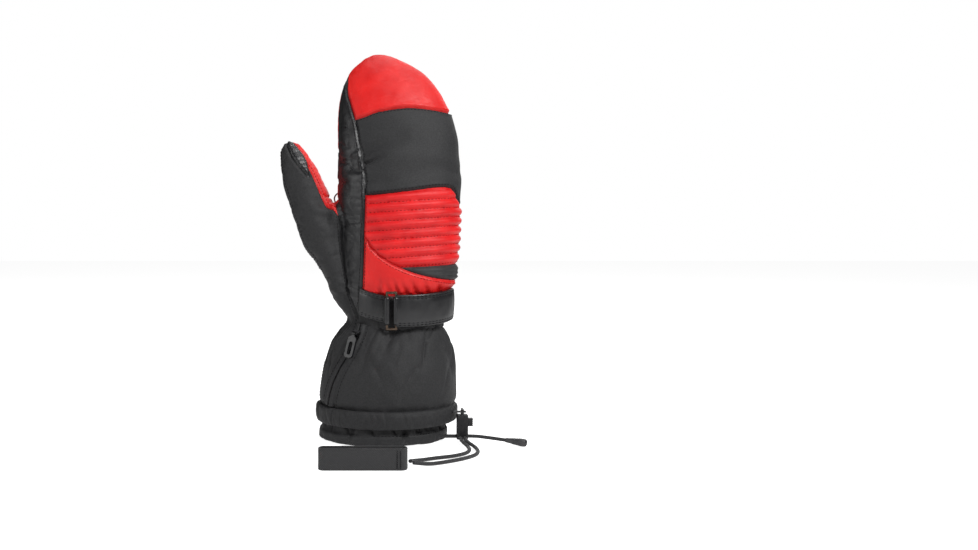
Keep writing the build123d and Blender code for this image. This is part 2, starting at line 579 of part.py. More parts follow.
make_cuff()
make_hem_tunnel()
make_hand()
make_thumb()
make_strap()
zip_at = make_zip()
tag_at = make_cuff_trim()
ring_at = make_pole_ring()
make_cord_lock()
make_cords()
make_band()
print("knuckle", KNUCKLE, "thumb joint", thumb_joint, "across", thumb_across, "axis", thumb_axis)
print("zip floor, down, out, pin", *zip_at)
print("tag hinge, edge", *tag_at)
print("ring middle, axis, outward", *ring_at)
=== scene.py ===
"""Looks of the ski mitten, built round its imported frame.

Lengths are worked in millimetres and turned into metres when a mesh is made. +Z runs to the fingertips,
-Y out of the back of the hand, +Y out of the palm, and the thumb is on the -X side.
"""
import math

import bpy
import numpy as np
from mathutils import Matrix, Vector
from mathutils.kdtree import KDTree


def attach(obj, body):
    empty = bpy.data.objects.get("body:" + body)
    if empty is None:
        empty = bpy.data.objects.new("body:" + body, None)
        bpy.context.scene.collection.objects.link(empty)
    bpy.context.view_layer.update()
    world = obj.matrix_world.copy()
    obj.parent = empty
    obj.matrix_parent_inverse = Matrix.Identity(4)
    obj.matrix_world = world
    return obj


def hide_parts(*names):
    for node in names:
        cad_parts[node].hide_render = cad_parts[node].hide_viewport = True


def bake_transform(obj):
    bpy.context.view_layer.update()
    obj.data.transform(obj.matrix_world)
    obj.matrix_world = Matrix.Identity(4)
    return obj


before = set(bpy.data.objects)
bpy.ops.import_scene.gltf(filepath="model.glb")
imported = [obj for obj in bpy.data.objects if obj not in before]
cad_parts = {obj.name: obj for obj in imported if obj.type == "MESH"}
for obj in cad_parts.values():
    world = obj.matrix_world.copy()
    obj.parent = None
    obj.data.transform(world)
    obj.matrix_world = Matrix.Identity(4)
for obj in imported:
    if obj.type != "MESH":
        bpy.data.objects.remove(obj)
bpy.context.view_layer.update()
MM = 0.001

# ---- camera, light and floor ---------------------------------------------------------------

camera = bpy.data.objects.new("camera", bpy.data.cameras.new("camera"))
bpy.context.scene.collection.objects.link(camera)
bpy.context.scene.camera = camera
camera.location = (0, -0.742, 0.183)
camera.rotation_euler = (math.radians(86.6), 0, 0)
camera.data.lens = 32.0
camera.data.sensor_width = 36
camera.data.shift_x = 0.105


def area_light(name, place, aim, size, power):
    light = bpy.data.lights.new(name, "AREA")
    light.size, light.energy = size, power
    o = bpy.data.objects.new(name, light)
    o.location = place
    o.rotation_euler = (Vector(aim) - Vector(place)).to_track_quat("-Z", "Y").to_euler()
    bpy.context.scene.collection.objects.link(o)


area_light("key", (0.62, -0.8, 1.0), (0, 0, 0.17), 0.45, 17.0)
area_light("fill", (-0.95, -0.6, 0.5), (0, 0, 0.15), 0.6, 3.4)
area_light("top", (0.1, 0.2, 1.4), (0, 0, 0.2), 0.9, 5.5)
area_light("back_of_room", (0.45, 1.1, 0.85), (0, 0, 0.15), 1.2, 6)

world = bpy.data.worlds.new("studio")
bpy.context.scene.world = world
world.use_nodes = True
tree = world.node_tree
dim, white = tree.nodes["Background"], tree.nodes.new("ShaderNodeBackground")
dim.inputs["Color"].default_value = white.inputs["Color"].default_value = (1, 1, 1, 1)
dim.inputs["Strength"].default_value, white.inputs["Strength"].default_value = 0.09, 1.0
either, seen = tree.nodes.new("ShaderNodeMixShader"), tree.nodes.new("ShaderNodeLightPath")
tree.links.new(seen.outputs["Is Camera Ray"], either.inputs[0])
tree.links.new(dim.outputs[0], either.inputs[1])
tree.links.new(white.outputs[0], either.inputs[2])
tree.links.new(either.outputs[0], tree.nodes["World Output"].inputs["Surface"])
bpy.context.scene.view_settings.view_transform = "Standard"

# ---- materials -----------------------------------------------------------------------------


class Nodes:
    """A few words for making a node material."""

    def __init__(self, name, color, roughness, **sockets):
        self.mat = bpy.data.materials.new(name)
        self.mat.use_nodes = True
        self.tree = self.mat.node_tree
        self.shader = self.tree.nodes["Principled BSDF"]
        for key, value in dict(sockets, Base_Color=(*color, 1), Roughness=roughness).items():
            self.shader.inputs[key.replace("_", " ")].default_value = value
        self.place = self.add("ShaderNodeTexCoord").outputs["Object"]
        self.normal = None

    def add(self, kind, **settings):
        node = self.tree.nodes.new(kind)
        for key, value in settings.items():
            setattr(node, key, value)
        return node

    def put(self, value, socket):
        """Sets a socket to a number, or links another node's output to it."""
        if isinstance(value, (int, float)):
            socket.default_value = value
        else:
            self.tree.links.new(value, socket)

    def texture(self, kind, scale, **settings):
        node = self.add("ShaderNodeTex" + kind, **settings)
        self.put(scale, node.inputs["Scale"])
        self.put(self.place, node.inputs["Vector"])
        return node

    def noise(self, scale, detail=3.0):
        node = self.texture("Noise", scale)
        self.put(detail, node.inputs["Detail"])
        self.put(0.55, node.inputs["Roughness"])
        return node.outputs["Fac"]

    def cells(self, scale):
        return self.texture("Voronoi", scale, feature="DISTANCE_TO_EDGE").outputs["Distance"]

    def wave(self, scale, direction):
        return self.texture("Wave", scale, bands_direction=direction).outputs["Fac"]

    def math(self, operation, a, b):
        node = self.add("ShaderNodeMath", operation=operation)
        self.put(a, node.inputs[0])
        self.put(b, node.inputs[1])
        return node.outputs[0]

    def ramp(self, factor, low, high, a, b):
        """The factor from low to high, as a number from a to b."""
        node = self.add("ShaderNodeMapRange")
        for socket, value in zip(node.inputs, (factor, low, high, a, b)):
            self.put(value, socket)
        return node.outputs[0]

    def color(self, factor, dark, light, low=0.3, high=0.7):
        node = self.add("ShaderNodeMix", data_type="RGBA")
        self.put(self.ramp(factor, low, high, 0, 1), node.inputs["Factor"])
        node.inputs["A"].default_value = (*dark, 1)
        node.inputs["B"].default_value = (*light, 1)
        self.put(node.outputs["Result"], self.shader.inputs["Base Color"])

    def roughness(self, factor, low, high):
        self.put(self.ramp(factor, 0.3, 0.7, low, high), self.shader.inputs["Roughness"])

    def bump(self, height, strength, distance):
        """Adds to the bumps so far. Distance is in metres."""
        node = self.add("ShaderNodeBump")
        self.put(strength, node.inputs["Strength"])
        self.put(distance, node.inputs["Distance"])
        self.put(height, node.inputs["Height"])
        if self.normal:
            self.put(self.normal, node.inputs["Normal"])
        self.normal = node.outputs["Normal"]
        self.put(self.normal, self.shader.inputs["Normal"])


def leather(name, dark, light, roughness, coat, gloss):
    m = Nodes(name, light, roughness, Coat_Weight=coat, Coat_Roughness=0.28, Specular_IOR_Level=gloss)
    m.color(m.noise(38, 4), dark, light, 0.32, 0.66)
    m.roughness(m.noise(160, 3), roughness - 0.07, roughness + 0.1)
    m.bump(m.noise(75, 4), 0.4, 0.0016)
    m.bump(m.math("MINIMUM", m.cells(320), 0.12), 0.35, 0.0007)
    m.bump(m.math("MINIMUM", m.cells(900), 0.18), 0.5, 0.0005)
    m.bump(m.noise(2600, 2), 0.15, 0.0001)
    return m.mat


def smooth_leather(name, dark, light, roughness):
    m = Nodes(name, light, roughness, Coat_Weight=0.15, Coat_Roughness=0.25)
    m.color(m.noise(45, 3), dark, light, 0.32, 0.66)
    m.roughness(m.noise(120, 3), roughness - 0.04, roughness + 0.08)
    m.bump(m.noise(40, 2), 0.3, 0.0006)
    m.bump(m.noise(900, 2), 0.12, 0.0001)
    return m.mat


def softshell(name, dark, light):
    m = Nodes(name, light, 0.62, Sheen_Weight=0.03, Sheen_Roughness=0.5, Specular_IOR_Level=0.28)
    m.color(m.noise(900, 3), dark, light, 0.35, 0.65)
    m.bump(m.noise(70, 3), 0.25, 0.0012)
    weave = m.math("MULTIPLY", m.wave(620, "DIAGONAL"), m.wave(620, "Z"))
    m.bump(weave, 0.35, 0.00025)
    m.bump(m.noise(1800, 2), 0.3, 0.0002)
    return m.mat


def stretch(name, dark, light, roughness):
    m = Nodes(name, light, roughness, Sheen_Weight=0.03, Sheen_Roughness=0.4, Specular_IOR_Level=0.35)
    m.color(m.noise(60, 3), dark, light, 0.35, 0.65)
    m.bump(m.noise(110, 3), 0.25, 0.0008)
    m.bump(m.math("MULTIPLY", m.wave(900, "X"), m.wave(700, "Z")), 0.3, 0.0002)
    return m.mat


def webbing(name, dark, light, scale=500):
    m = Nodes(name, light, 0.7, Sheen_Weight=0.2, Sheen_Roughness=0.5)
    m.color(m.wave(scale, "DIAGONAL"), dark, light, 0.2, 0.8)
    m.bump(m.math("MULTIPLY", m.wave(scale, "DIAGONAL"), m.wave(scale * 0.8, "Z")), 0.7, 0.0004)
    m.bump(m.noise(1500, 2), 0.3, 0.0002)
    return m.mat


def plastic(name, dark, light, roughness):
    m = Nodes(name, light, roughness, Specular_IOR_Level=0.35)
    m.color(m.noise(300, 2), dark, light)
    m.roughness(m.noise(500, 3), roughness - 0.08, roughness + 0.1)
    m.bump(m.noise(1400, 3), 0.25, 0.00015)
    return m.mat


def metal(name, dark, light, roughness):
    m = Nodes(name, light, roughness, Metallic=1.0)
    m.color(m.noise(220, 3), dark, light)
    m.roughness(m.noise(700, 3), roughness - 0.06, roughness + 0.1)
    m.bump(m.noise(900, 2), 0.2, 0.0001)
    return m.mat


def cloth(name, dark, light, grain=700, sheen=0.4):
    m = Nodes(name, light, 0.9, Sheen_Weight=sheen, Sheen_Roughness=0.6, Specular_IOR_Level=0.2)
    m.color(m.noise(grain, 3), dark, light)
    m.bump(m.noise(grain, 4), 0.8, 0.0008)
    return m.mat


RED_LEATHER = leather("red_leather", (0.54, 0.006, 0.006), (0.69, 0.014, 0.012), 0.44, 0.0, 0.36)
BLACK_LEATHER = leather("black_leather", (0.005, 0.005, 0.006), (0.011, 0.011, 0.012), 0.34, 0.06, 0.45)
STRAP_LEATHER = smooth_leather("black_leather", (0.004, 0.004, 0.005), (0.009, 0.009, 0.010), 0.34)
SOFTSHELL = softshell("softshell", (0.016, 0.016, 0.017), (0.025, 0.025, 0.026))
RED_STRETCH = stretch("red_stretch", (0.55, 0.004, 0.006), (0.69, 0.010, 0.011), 0.42)
BLACK_STRETCH = stretch("black_stretch", (0.016, 0.016, 0.017), (0.030, 0.030, 0.031), 0.6)
DARK_THREAD = cloth("dark_thread", (0.004, 0.004, 0.005), (0.012, 0.012, 0.013), 3000, 0.0)
RED_THREAD = cloth("red_thread", (0.22, 0.003, 0.004), (0.38, 0.006, 0.008), 3000, 0.0)
WEBBING = webbing("webbing", (0.008, 0.008, 0.009), (0.024, 0.024, 0.026))
CORD_BRAID = webbing("cord_braid", (0.006, 0.006, 0.007), (0.022, 0.022, 0.024), 900)
FLEECE = cloth("fleece", (0.012, 0.012, 0.013), (0.034, 0.034, 0.036), 500)
HOOK_TAPE = cloth("hook_tape", (0.008, 0.008, 0.008), (0.028, 0.028, 0.028), 1600)
BLACK_PLASTIC = plastic("black_plastic", (0.006, 0.006, 0.007), (0.014, 0.014, 0.015), 0.34)
SOFT_PLASTIC = plastic("soft_plastic", (0.026, 0.026, 0.027), (0.050, 0.050, 0.052), 0.45)
GLOSS_PLASTIC = plastic("gloss_plastic", (0.004, 0.004, 0.005), (0.009, 0.009, 0.010), 0.2)
BLACK_METAL = metal("black_metal", (0.03, 0.03, 0.032), (0.07, 0.07, 0.074), 0.32)
BRONZE = metal("bronze_wire", (0.07, 0.05, 0.038), (0.17, 0.125, 0.095), 0.3)
SILVER = metal("silver_wire", (0.30, 0.30, 0.31), (0.48, 0.48, 0.50), 0.2)

# ---- the shape, in numbers ------------------------------------------------------------------

HAND = np.array([
    (94, 8.5, 0.0, 41.0, 30.0), (100, 8.5, 0.0, 41.0, 30.0), (112, 8.7, 0.0, 42.0, 30.2),
    (126, 9.8, 0.0, 43.9, 30.5), (135, 12.0, 0.1, 47.7, 31.0), (154, 11.6, 0.4, 49.8, 31.5),
    (190, 11.0, 1.0, 51.5, 31.5), (230, 11.0, 3.5, 52.2, 29.5), (262, 8.9, 8.0, 50.2, 26.5),
    (286, 5.2, 12.5, 45.6, 23.0), (300, 2.9, 15.0, 40.2, 19.5), (312, -0.2, 17.5, 31.8, 15.5),
    (321, -2.6, 19.5, 20.0, 10.5), (326.5, -5.5, 20.5, 10.0, 5.5), (328, -6.5, 20.8, 5.0, 3.0)])
CUFF = np.array([
    (27, 1.5, 0.0, 58.8, 44.0), (31, 1.5, 0.0, 58.8, 44.0), (60, 3.5, 0.0, 56.5, 42.0),
    (80, 4.2, 0.0, 52.8, 38.0), (92, 6.4, 0.0, 46.6, 33.3), (100, 8.5, 0.0, 42.0, 30.5),
    (104, 8.6, 0.0, 42.0, 30.6)])
FOOT, TOP = np.array((-37.5, 5.0, 128.0)), np.array((-85.5, 17.0, 253.5))
THUMB = np.array([
    (-0.200, 6.0, 12.0), (-0.070, 9.6, 15.5), (0.060, 10.6, 18.0), (0.200, 14.4, 20.3), (0.350, 18.8, 21.3),
    (0.480, 18.4, 20.9), (0.600, 17.5, 19.5), (0.700, 16.6, 18.0), (0.800, 14.8, 15.8), (0.890, 12.0, 12.6),
    (0.950, 9.2, 9.6), (0.985, 5.8, 6.0), (1.000, 3.0, 3.2)])
WRIST_Z, HAND_REACH, HALF_WIDE, HALF_DEEP, THUMB_HALF = 100, 228, 50.5, 31.5, 18.8
LINING_IN = 7.9      # from the outside to the lining, through leather and padding
LENGTH = float(np.linalg.norm(TOP - FOOT))
AXIS = (TOP - FOOT) / LENGTH
ACROSS = np.cross((0, 1, 0), AXIS)
ACROSS /= np.linalg.norm(ACROSS)
DEPTH = np.cross(AXIS, ACROSS)


def smooth_line(xs, ys, at):
    """A line through the points that never overshoots them. ys may have several columns."""
    xs, ys = np.asarray(xs, float), np.asarray(ys, float)
    flat = ys.ndim == 1
    if flat:
        ys = ys[:, None]
    h = np.diff(xs)[:, None]
    d = np.diff(ys, axis=0) / h
    m = np.zeros_like(ys)
    same = d[:-1] * d[1:] > 0
    w1, w2 = 2 * h[1:] + h[:-1], h[1:] + 2 * h[:-1]
    with np.errstate(divide="ignore", invalid="ignore"):
        m[1:-1] = np.where(same, (w1 + w2) / (w1 / d[:-1] + w2 / d[1:]), 0)
    m[0], m[-1] = d[0], d[-1]
    at = np.clip(np.asarray(at, float), xs[0], xs[-1])
    i = np.clip(np.searchsorted(xs, at, side="right") - 1, 0, len(xs) - 2)
    t = ((at - xs[i]) / (xs[i + 1] - xs[i]))[..., None]
    h = h[i]
    out = ((1 + 2 * t) * (1 - t) ** 2 * ys[i] + t * (1 - t) ** 2 * h * m[i]
           + t * t * (3 - 2 * t) * ys[i + 1] + t * t * (t - 1) * h * m[i + 1])
    return out[..., 0] if flat else out


def seam_at(points, at):
    """The second number of a seam's points, where the first is at."""
    first, second = zip(*sorted(points))
    return smooth_line(first, second, at)


def hand_oval(z):
    """Middle x and y, half width and half depth of the hand at height z."""
    return smooth_line(HAND[:, 0], HAND[:, 1:], z)


def cuff_oval(z):
    """The same four of the cuff."""
    return smooth_line(CUFF[:, 0], CUFF[:, 1:], z)


def table(*columns):
    """The columns side by side, as an array with a row for each point."""
    return np.stack(np.broadcast_arrays(*columns), 1)


def unit(v):
    """Vectors made 1 long."""
    return v / np.maximum(np.linalg.norm(v, axis=-1, keepdims=True), 1e-9)


def hill(x, middle, wide):
    """1 at the middle, falling smoothly to 0 on both sides."""
    return np.exp(-((x - middle) / wide) ** 2)


def turns(count):
    """Angles evenly round a circle."""
    return np.linspace(0, 2 * np.pi, count, endpoint=False)


def soft_noise(p, seed=0):
    """Smooth noise from 0 to 1 at points p, about one feature per unit."""
    cell = np.floor(p).astype(np.int64)
    t = p - cell
    t = t * t * (3 - 2 * t)
    total = np.zeros(len(p))
    for dx in (0, 1):
        for dy in (0, 1):
            for dz in (0, 1):
                h = ((cell[:, 0] + dx) * 374761393 + (cell[:, 1] + dy) * 668265263
                     + (cell[:, 2] + dz) * 2147483647 + seed * 974711) & 0xFFFFFFFF
                h = ((h ^ (h >> 13)) * 1274126177) & 0xFFFFFFFF
                h = ((h ^ (h >> 16)) & 0xFFFFFF) / 0xFFFFFF
                w = (t[:, 0] if dx else 1 - t[:, 0]) * (t[:, 1] if dy else 1 - t[:, 1]) \
                    * (t[:, 2] if dz else 1 - t[:, 2])
                total += h * w
    return total


def folds(p, seed=0, sharp=2.0):
    """Creases: near 1 along wandering lines and 0 between them."""
    n = 0.65 * soft_noise(p, seed) + 0.35 * soft_noise(p * 2.1, seed + 7)
    return (1 - np.abs(2 * n - 1)) ** (3 * sharp)


# ---- meshes --------------------------------------------------------------------------------


def make(name, verts_mm, faces, material, smooth=True):
    mesh = bpy.data.meshes.new(name)
    mesh.from_pydata((np.asarray(verts_mm) * MM).tolist(), [], [list(map(int, f)) for f in faces])
    mesh.update()
    if smooth:
        mesh.polygons.foreach_set("use_smooth", [True] * len(mesh.polygons))
    mesh.materials.append(material)
    o = bpy.data.objects.new(name, mesh)
    bpy.context.scene.collection.objects.link(o)
    return o


def grid_faces(rows, columns, closed=True):
    """Quads over a grid of rows x columns vertices; closed joins the last column to the first."""
    n = columns if closed else columns - 1
    i, j = np.meshgrid(np.arange(rows - 1), np.arange(n), indexing="ij")
    k = (j + 1) % columns
    return np.stack([i * columns + j, i * columns + k, (i + 1) * columns + k, (i + 1) * columns + j],
                    -1).reshape(-1, 4)


def tube_mesh(rings):
    """Vertices and faces of a closed tube whose rings are (n, m, 3)."""
    n, m, _ = rings.shape
    verts = np.concatenate([rings.reshape(-1, 3), [rings[0].mean(0)], [rings[-1].mean(0)]])
    faces = grid_faces(n, m).tolist()
    faces += [[n * m, (j + 1) % m, j] for j in range(m)]
    faces += [[n * m + 1, (n - 1) * m + j, (n - 1) * m + (j + 1) % m] for j in range(m)]
    return verts, faces


def hand_tube(shrink=0.0, columns=96):
    """Rings round the hand. shrink moves them inwards, for the lining."""
    t = turns(columns)
    rows = smooth_line(range(len(HAND)), HAND, np.linspace(0, len(HAND) - 1, 120))
    z, x, y, wide, deep = rows.T[..., None]
    z = WRIST_Z + (z - WRIST_Z) * (HAND_REACH - shrink) / HAND_REACH
    wide, deep = wide * ((HALF_WIDE - shrink) / HALF_WIDE), deep * ((HALF_DEEP - shrink) / HALF_DEEP)
    return np.stack([x + wide * np.cos(t), y + deep * np.sin(t), np.repeat(z, columns, 1)], -1)


def thumb_tube(shrink=0.0, columns=72, count=90):
    """Rings round the thumb, like the hand's."""
    t = turns(columns)
    rows = smooth_line(range(len(THUMB)), THUMB, np.linspace(0, len(THUMB) - 1, count))
    s, wide, deep = rows.T[..., None]
    k = (THUMB_HALF - shrink) / THUMB_HALF
    centre = FOOT + AXIS * (s * (LENGTH - shrink))
    across, out = (k * wide * np.cos(t))[..., None], (k * deep * np.sin(t))[..., None]
    return centre[:, None] + ACROSS * across + DEPTH * out


def skin():
    """One skin round the hand and thumb, of even small triangles: vertices in mm, and triangles."""
    # The web between hand and thumb is a low lens.
    lat, lon = np.meshgrid(np.linspace(0.02, np.pi - 0.02, 30), turns(40), indexing="ij")
    web = np.array((-42.5, 1.5, 185.0)) + np.stack(
        [10 * np.sin(lat) * np.cos(lon), 12 * np.sin(lat) * np.sin(lon), -16 * np.cos(lat)], -1)
    verts, faces = np.zeros((0, 3)), []
    for v, f in map(tube_mesh, (hand_tube(), thumb_tube(), web)):
        faces += [[i + len(verts) for i in face] for face in f]
        verts = np.concatenate([verts, v])
    o = make("skin", verts, faces, RED_LEATHER)
    mod = o.modifiers.new("even", "REMESH")
    mod.mode, mod.voxel_size, mod.adaptivity = "VOXEL", (0.0014), 0
    mesh = bpy.data.meshes.new_from_object(o.evaluated_get(bpy.context.evaluated_depsgraph_get()))
    bpy.data.objects.remove(o)
    mesh.calc_loop_triangles()
    v = np.zeros(len(mesh.vertices) * 3)
    mesh.vertices.foreach_get("co", v)
    f = np.zeros(len(mesh.loop_triangles) * 3, np.int64)
    mesh.loop_triangles.foreach_get("vertices", f)
    v, f = v.reshape(-1, 3) / MM, f.reshape(-1, 3)
    e = np.unique(np.sort(np.concatenate([f[:, :2], f[:, 1:], f[:, ::2]]), 1), axis=0)
    near = hill(hand_value(v), 0, 4.5) * hill(thumb_value(v), 0, 4.5)       # 1 in the crease between them
    count = np.bincount(e.ravel(), minlength=len(v))[:, None]
    for step in range(34):
        total = np.zeros_like(v)
        for k in range(3):
            for here, there in (e.T, e.T[::-1]):
                total[:, k] += np.bincount(here, v[there, k], len(v))
        pull = (0.5 if step % 2 == 0 else -0.52) if step < 12 else 0.5
        amount = pull * (1.0 if step < 12 else near[:, None])
        v = v + amount * (total / count - v)
    return v, f


def hand_value(p):
    r = hand_oval(p[:, 2])
    return (np.hypot((p[:, 0] - r[:, 0]) / r[:, 2], (p[:, 1] - r[:, 1]) / r[:, 3]) - 1) * r[:, 3]


def thumb_parts(p):
    """Share along the thumb, distance across and depth, and the thumb's half width and depth there."""
    q = p - FOOT
    s = q @ AXIS / LENGTH
    r = smooth_line(THUMB[:, 0], THUMB[:, 1:], s)
    return s, q @ ACROSS, q @ DEPTH, r[:, 0], r[:, 1]


def thumb_value(p):
    s, c, d, a, b = thumb_parts(p)
    return (np.hypot(c / a, d / b) - 1) * a + 40 * np.maximum(s - 1, 0)


def cut(v, f, value):
    """Splits the triangles along value(v) = 0. A corner very near the line is taken to be on it."""
    g = value(v)
    edges = np.sort(np.concatenate([f[:, [0, 1]], f[:, [1, 2]], f[:, [2, 0]]]), 1)
    e = np.unique(edges, axis=0)
    for _ in range(2):
        a, b = g[e[:, 0]], g[e[:, 1]]
        crossing = a * b < 0
        t = np.where(crossing, a / np.where(crossing, a - b, 1), 0.5)
        g[e[crossing & (t < 0.18), 0]] = 0
        g[e[crossing & (t > 0.82), 1]] = 0
    a, b = g[e[:, 0]], g[e[:, 1]]
    cross = np.where(a * b < 0)[0]
    t = (a[cross] / (a[cross] - b[cross]))[:, None]
    new = v[e[cross, 0]] * (1 - t) + v[e[cross, 1]] * t
    lookup = dict(zip(map(tuple, e[cross].tolist()), range(len(v), len(v) + len(new))))
    out = []
    sign = np.sign(g)
    touched = (sign[f].min(1) < 0) & (sign[f].max(1) > 0)
    for tri in f[touched].tolist():
        cuts = [lookup.get((min(tri[k], tri[(k + 1) % 3]), max(tri[k], tri[(k + 1) % 3]))) for k in range(3)]
        n = sum(c is not None for c in cuts)
        if n == 1:
            k = next(i for i in range(3) if cuts[i] is not None)
            i, j, l = tri[k], tri[(k + 1) % 3], tri[(k + 2) % 3]
            out += [[i, cuts[k], l], [cuts[k], j, l]]
        elif n == 2:
            k = next(i for i in range(3) if cuts[i] is None)      # the uncut edge i-j, and the lone corner l
            i, j, l = tri[k], tri[(k + 1) % 3], tri[(k + 2) % 3]
            jl, li = cuts[(k + 1) % 3], cuts[(k + 2) % 3]
            out += [[i, j, jl], [i, jl, li], [li, jl, l]]
        else:
            out.append(tri)
    return np.concatenate([v, new]), np.concatenate([f[~touched], np.array(out, np.int64).reshape(-1, 3)])


def normals(v, f):
    n = np.cross(v[f[:, 1]] - v[f[:, 0]], v[f[:, 2]] - v[f[:, 0]])
    out = np.zeros_like(v)
    for k in range(3):
        for c in range(3):
            out[:, c] += np.bincount(f[:, k], n[:, c], len(v))
    return unit(out)


def tree_of(points):
    tree = KDTree(len(points))
    for i, p in enumerate(points.tolist()):
        tree.insert(p, i)
    tree.balance()
    return tree


def contours(v, f, g, shown):
    """Polylines where g crosses 0 on the triangles f, read from the positions shown."""
    segments = []
    for tri in f[(g[f].min(1) < 0) & (g[f].max(1) > 0)].tolist():
        ends = []
        for k in range(3):
            i, j = sorted((tri[k], tri[(k + 1) % 3]))
            if g[i] * g[j] < 0:
                ends.append((i, j))
            elif g[i] == 0 and (i, i) not in ends:
                ends.append((i, i))
        if len(ends) == 2:
            segments.append(ends)
    links = {}
    for a, b in segments:
        links.setdefault(a, []).append(b)
        links.setdefault(b, []).append(a)

    def point(key):
        i, j = key
        t = 0 if i == j else g[i] / (g[i] - g[j])
        return shown[i] * (1 - t) + shown[j] * t

    lines, done = [], set()
    starts = [k for k in links if len(links[k]) == 1] + list(links)
    for start in starts:
        if start in done:
            continue
        line, here = [start], start
        done.add(start)
        while True:
            step = next((n for n in links[here] if n not in done), None)
            if step is None:
                break
            done.add(step)
            line.append(step)
            here = step
        if len(line) > 3:
            lines.append(np.array([point(k) for k in line]))
    return lines


def lengths(line):
    """How far along a polyline each of its points is."""
    return np.concatenate([[0], np.cumsum(np.linalg.norm(np.diff(line, axis=0), axis=1))])


def points_at(line, run, at):
    return np.stack([np.interp(at, run, line[:, k]) for k in range(3)], 1)


def even(line, pitch):
    """Points and directions every pitch along a polyline, smoothed a little."""
    line = line.copy()
    for _ in range(3):
        line[1:-1] = (line[:-2] + 2 * line[1:-1] + line[2:]) / 4
    run = lengths(line)
    if run[-1] < pitch * 2:
        return None
    at = np.arange(pitch / 2, run[-1], pitch)
    ahead = points_at(line, run, np.minimum(at + 0.5, run[-1]))
    behind = points_at(line, run, np.maximum(at - 0.5, 0))
    return points_at(line, run, at), unit(ahead - behind)


def capsules(points, along, up, long, wide, high):
    """Small stitches, as bent drops of thread, one at each point."""
    side = unit(np.cross(along, up))
    up = np.cross(side, along)
    verts = []
    for share, girth, lift in ((-0.5, 0.25, -0.6), (-0.36, 0.9, 0.1), (0.0, 1.0, 0.35), (0.36, 0.9, 0.1),
                               (0.5, 0.25, -0.6)):
        for t in turns(6):
            verts.append(points + along * (share * long) + side * (math.cos(t) * girth * wide / 2)
                         + up * (math.sin(t) * girth * high / 2 + lift * high / 2))
    verts = np.stack(verts, 1)
    faces = grid_faces(5, 6).tolist() + [list(range(5, -1, -1)), list(range(24, 30))]
    n = verts.shape[1]
    return verts.reshape(-1, 3), [[i + k * n for i in face] for k in range(len(points)) for face in faces]


def part(name, verts, faces, material, fasten, *nodes, slot=True):
    """A piece with its material that rides on its bodies and stands for its CAD nodes, which it hides."""
    o = make(name, verts, faces, material)
    fasten(o)
    if nodes:
        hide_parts(*nodes)
    return o


def sew(name, points, along, up, fasten, size, material=DARK_THREAD):
    """Stitches at the points. along and up are a direction for each, or one for all of them.

    size is a stitch's length, width and height.
    """
    points = np.asarray(points, float)
    along, up = np.broadcast_to(along, points.shape), np.broadcast_to(up, points.shape)
    part(name, *capsules(points, along, up, *size), material, fasten, slot=False)


# ---- the panels of the hand and thumb ---------------------------------------------------------

THUMB_SEAM_BACK = [(90, -21), (105.8, -24.6), (117.6, -28.6), (138, -33.5), (168, -38.2), (185.6, -39.6),
                   (200, -43.5), (222, -51), (262, -63), (330, -82)]
THUMB_SEAM_PALM = [(90, -26), (118, -29), (129, -31.5), (143.5, -36.5), (160.7, -28.8), (176, -24.3),
                   (194, -24.3), (212, -28.8), (217, -38), (222, -51), (262, -63), (330, -82)]
GUSSET_SEAM = [(90, -25.5), (106, -24.5), (120, -21), (150, -19.4), (175, -18.9), (207, -18.0), (222, -18.0),
               (234, -21), (265, -25.5), (284, -31.0), (297, -34.2), (307, -34.0), (313, -31.5), (320, -25.5),
               (326, -16), (330, -8)]
OUTER_SEAM = [(90, -26), (118, -28.5), (129, -31.5), (143.5, -37.5), (158, -46.6), (175.5, -57.2),
              (197, -67.9), (218, -75.7), (235, -80.0), (246, -79.0), (256, -76)]
TIP_SEAM = [(-60, 266), (-25.5, 270), (-5, 276.5), (20.6, 279.7), (54, 277.3), (80, 275)]
SWOOSH = [(-60, 173), (-21, 173.4), (-12, 162), (-3, 154.2), (7.7, 148.2), (28, 140.6), (55.7, 135),
          (80, 132)]
BAND_TOP = [(-60, 250), (-36.2, 243.2), (43, 216.4), (80, 204)]
BAND_LOW = [(-60, 222), (-40, 219), (-28.8, 215.4), (-10, 197.2), (6.7, 179.9), (13.4, 173.4), (23.6, 170.5),
            (80, 170)]
PALM_EDGE = [(35.5, 112), (40.3, 130), (43, 155), (43, 216), (43, 231), (40.3, 256), (33.6, 273), (23.5, 288),
             (6.7, 297.6), (-10, 302), (-28.7, 302.4), (-36.9, 298), (-60, 292), (-90, 292), (-90, 118),
             (-27, 122), (-2, 123), (15, 120)]
RIB_PITCH, RIB_TOP = 7.65, 208.0
QUILT_TOP = [(-60, 205.6), (-17, 206.3), (20, 209.8), (48, 213), (54, 212.4), (57.5, 209.5), (60, 204),
             (63, 197)]


def polygon_value(points, x, z):
    """Signed distance to a closed outline: below 0 inside."""
    p = np.asarray(points, float)
    a, b = p, np.roll(p, -1, 0)
    best = np.full(len(x), 1e9)
    inside = np.zeros(len(x), bool)
    for (ax, az), (bx, bz) in zip(a, b):
        t = np.clip(((x - ax) * (bx - ax) + (z - az) * (bz - az)) / ((bx - ax) ** 2 + (bz - az) ** 2), 0, 1)
        best = np.minimum(best, np.hypot(x - ax - t * (bx - ax), z - az - t * (bz - az)))
        over = ((az > z) != (bz > z)) & (x < (bx - ax) * (z - az) / np.where(bz == az, 1e-9, bz - az) + ax)
        inside ^= over
    return np.where(inside, -best, best)


def rounded(points, rounds=3):
    """The outline with its corners cut round."""
    p = np.asarray(points, float)
    for _ in range(rounds):
        q = np.roll(p, -1, 0)
        p = table(0.75 * p + 0.25 * q, 0.25 * p + 0.75 * q).reshape(-1, 2)
    return p


PALM_OUTLINE = rounded(PALM_EDGE, 2)


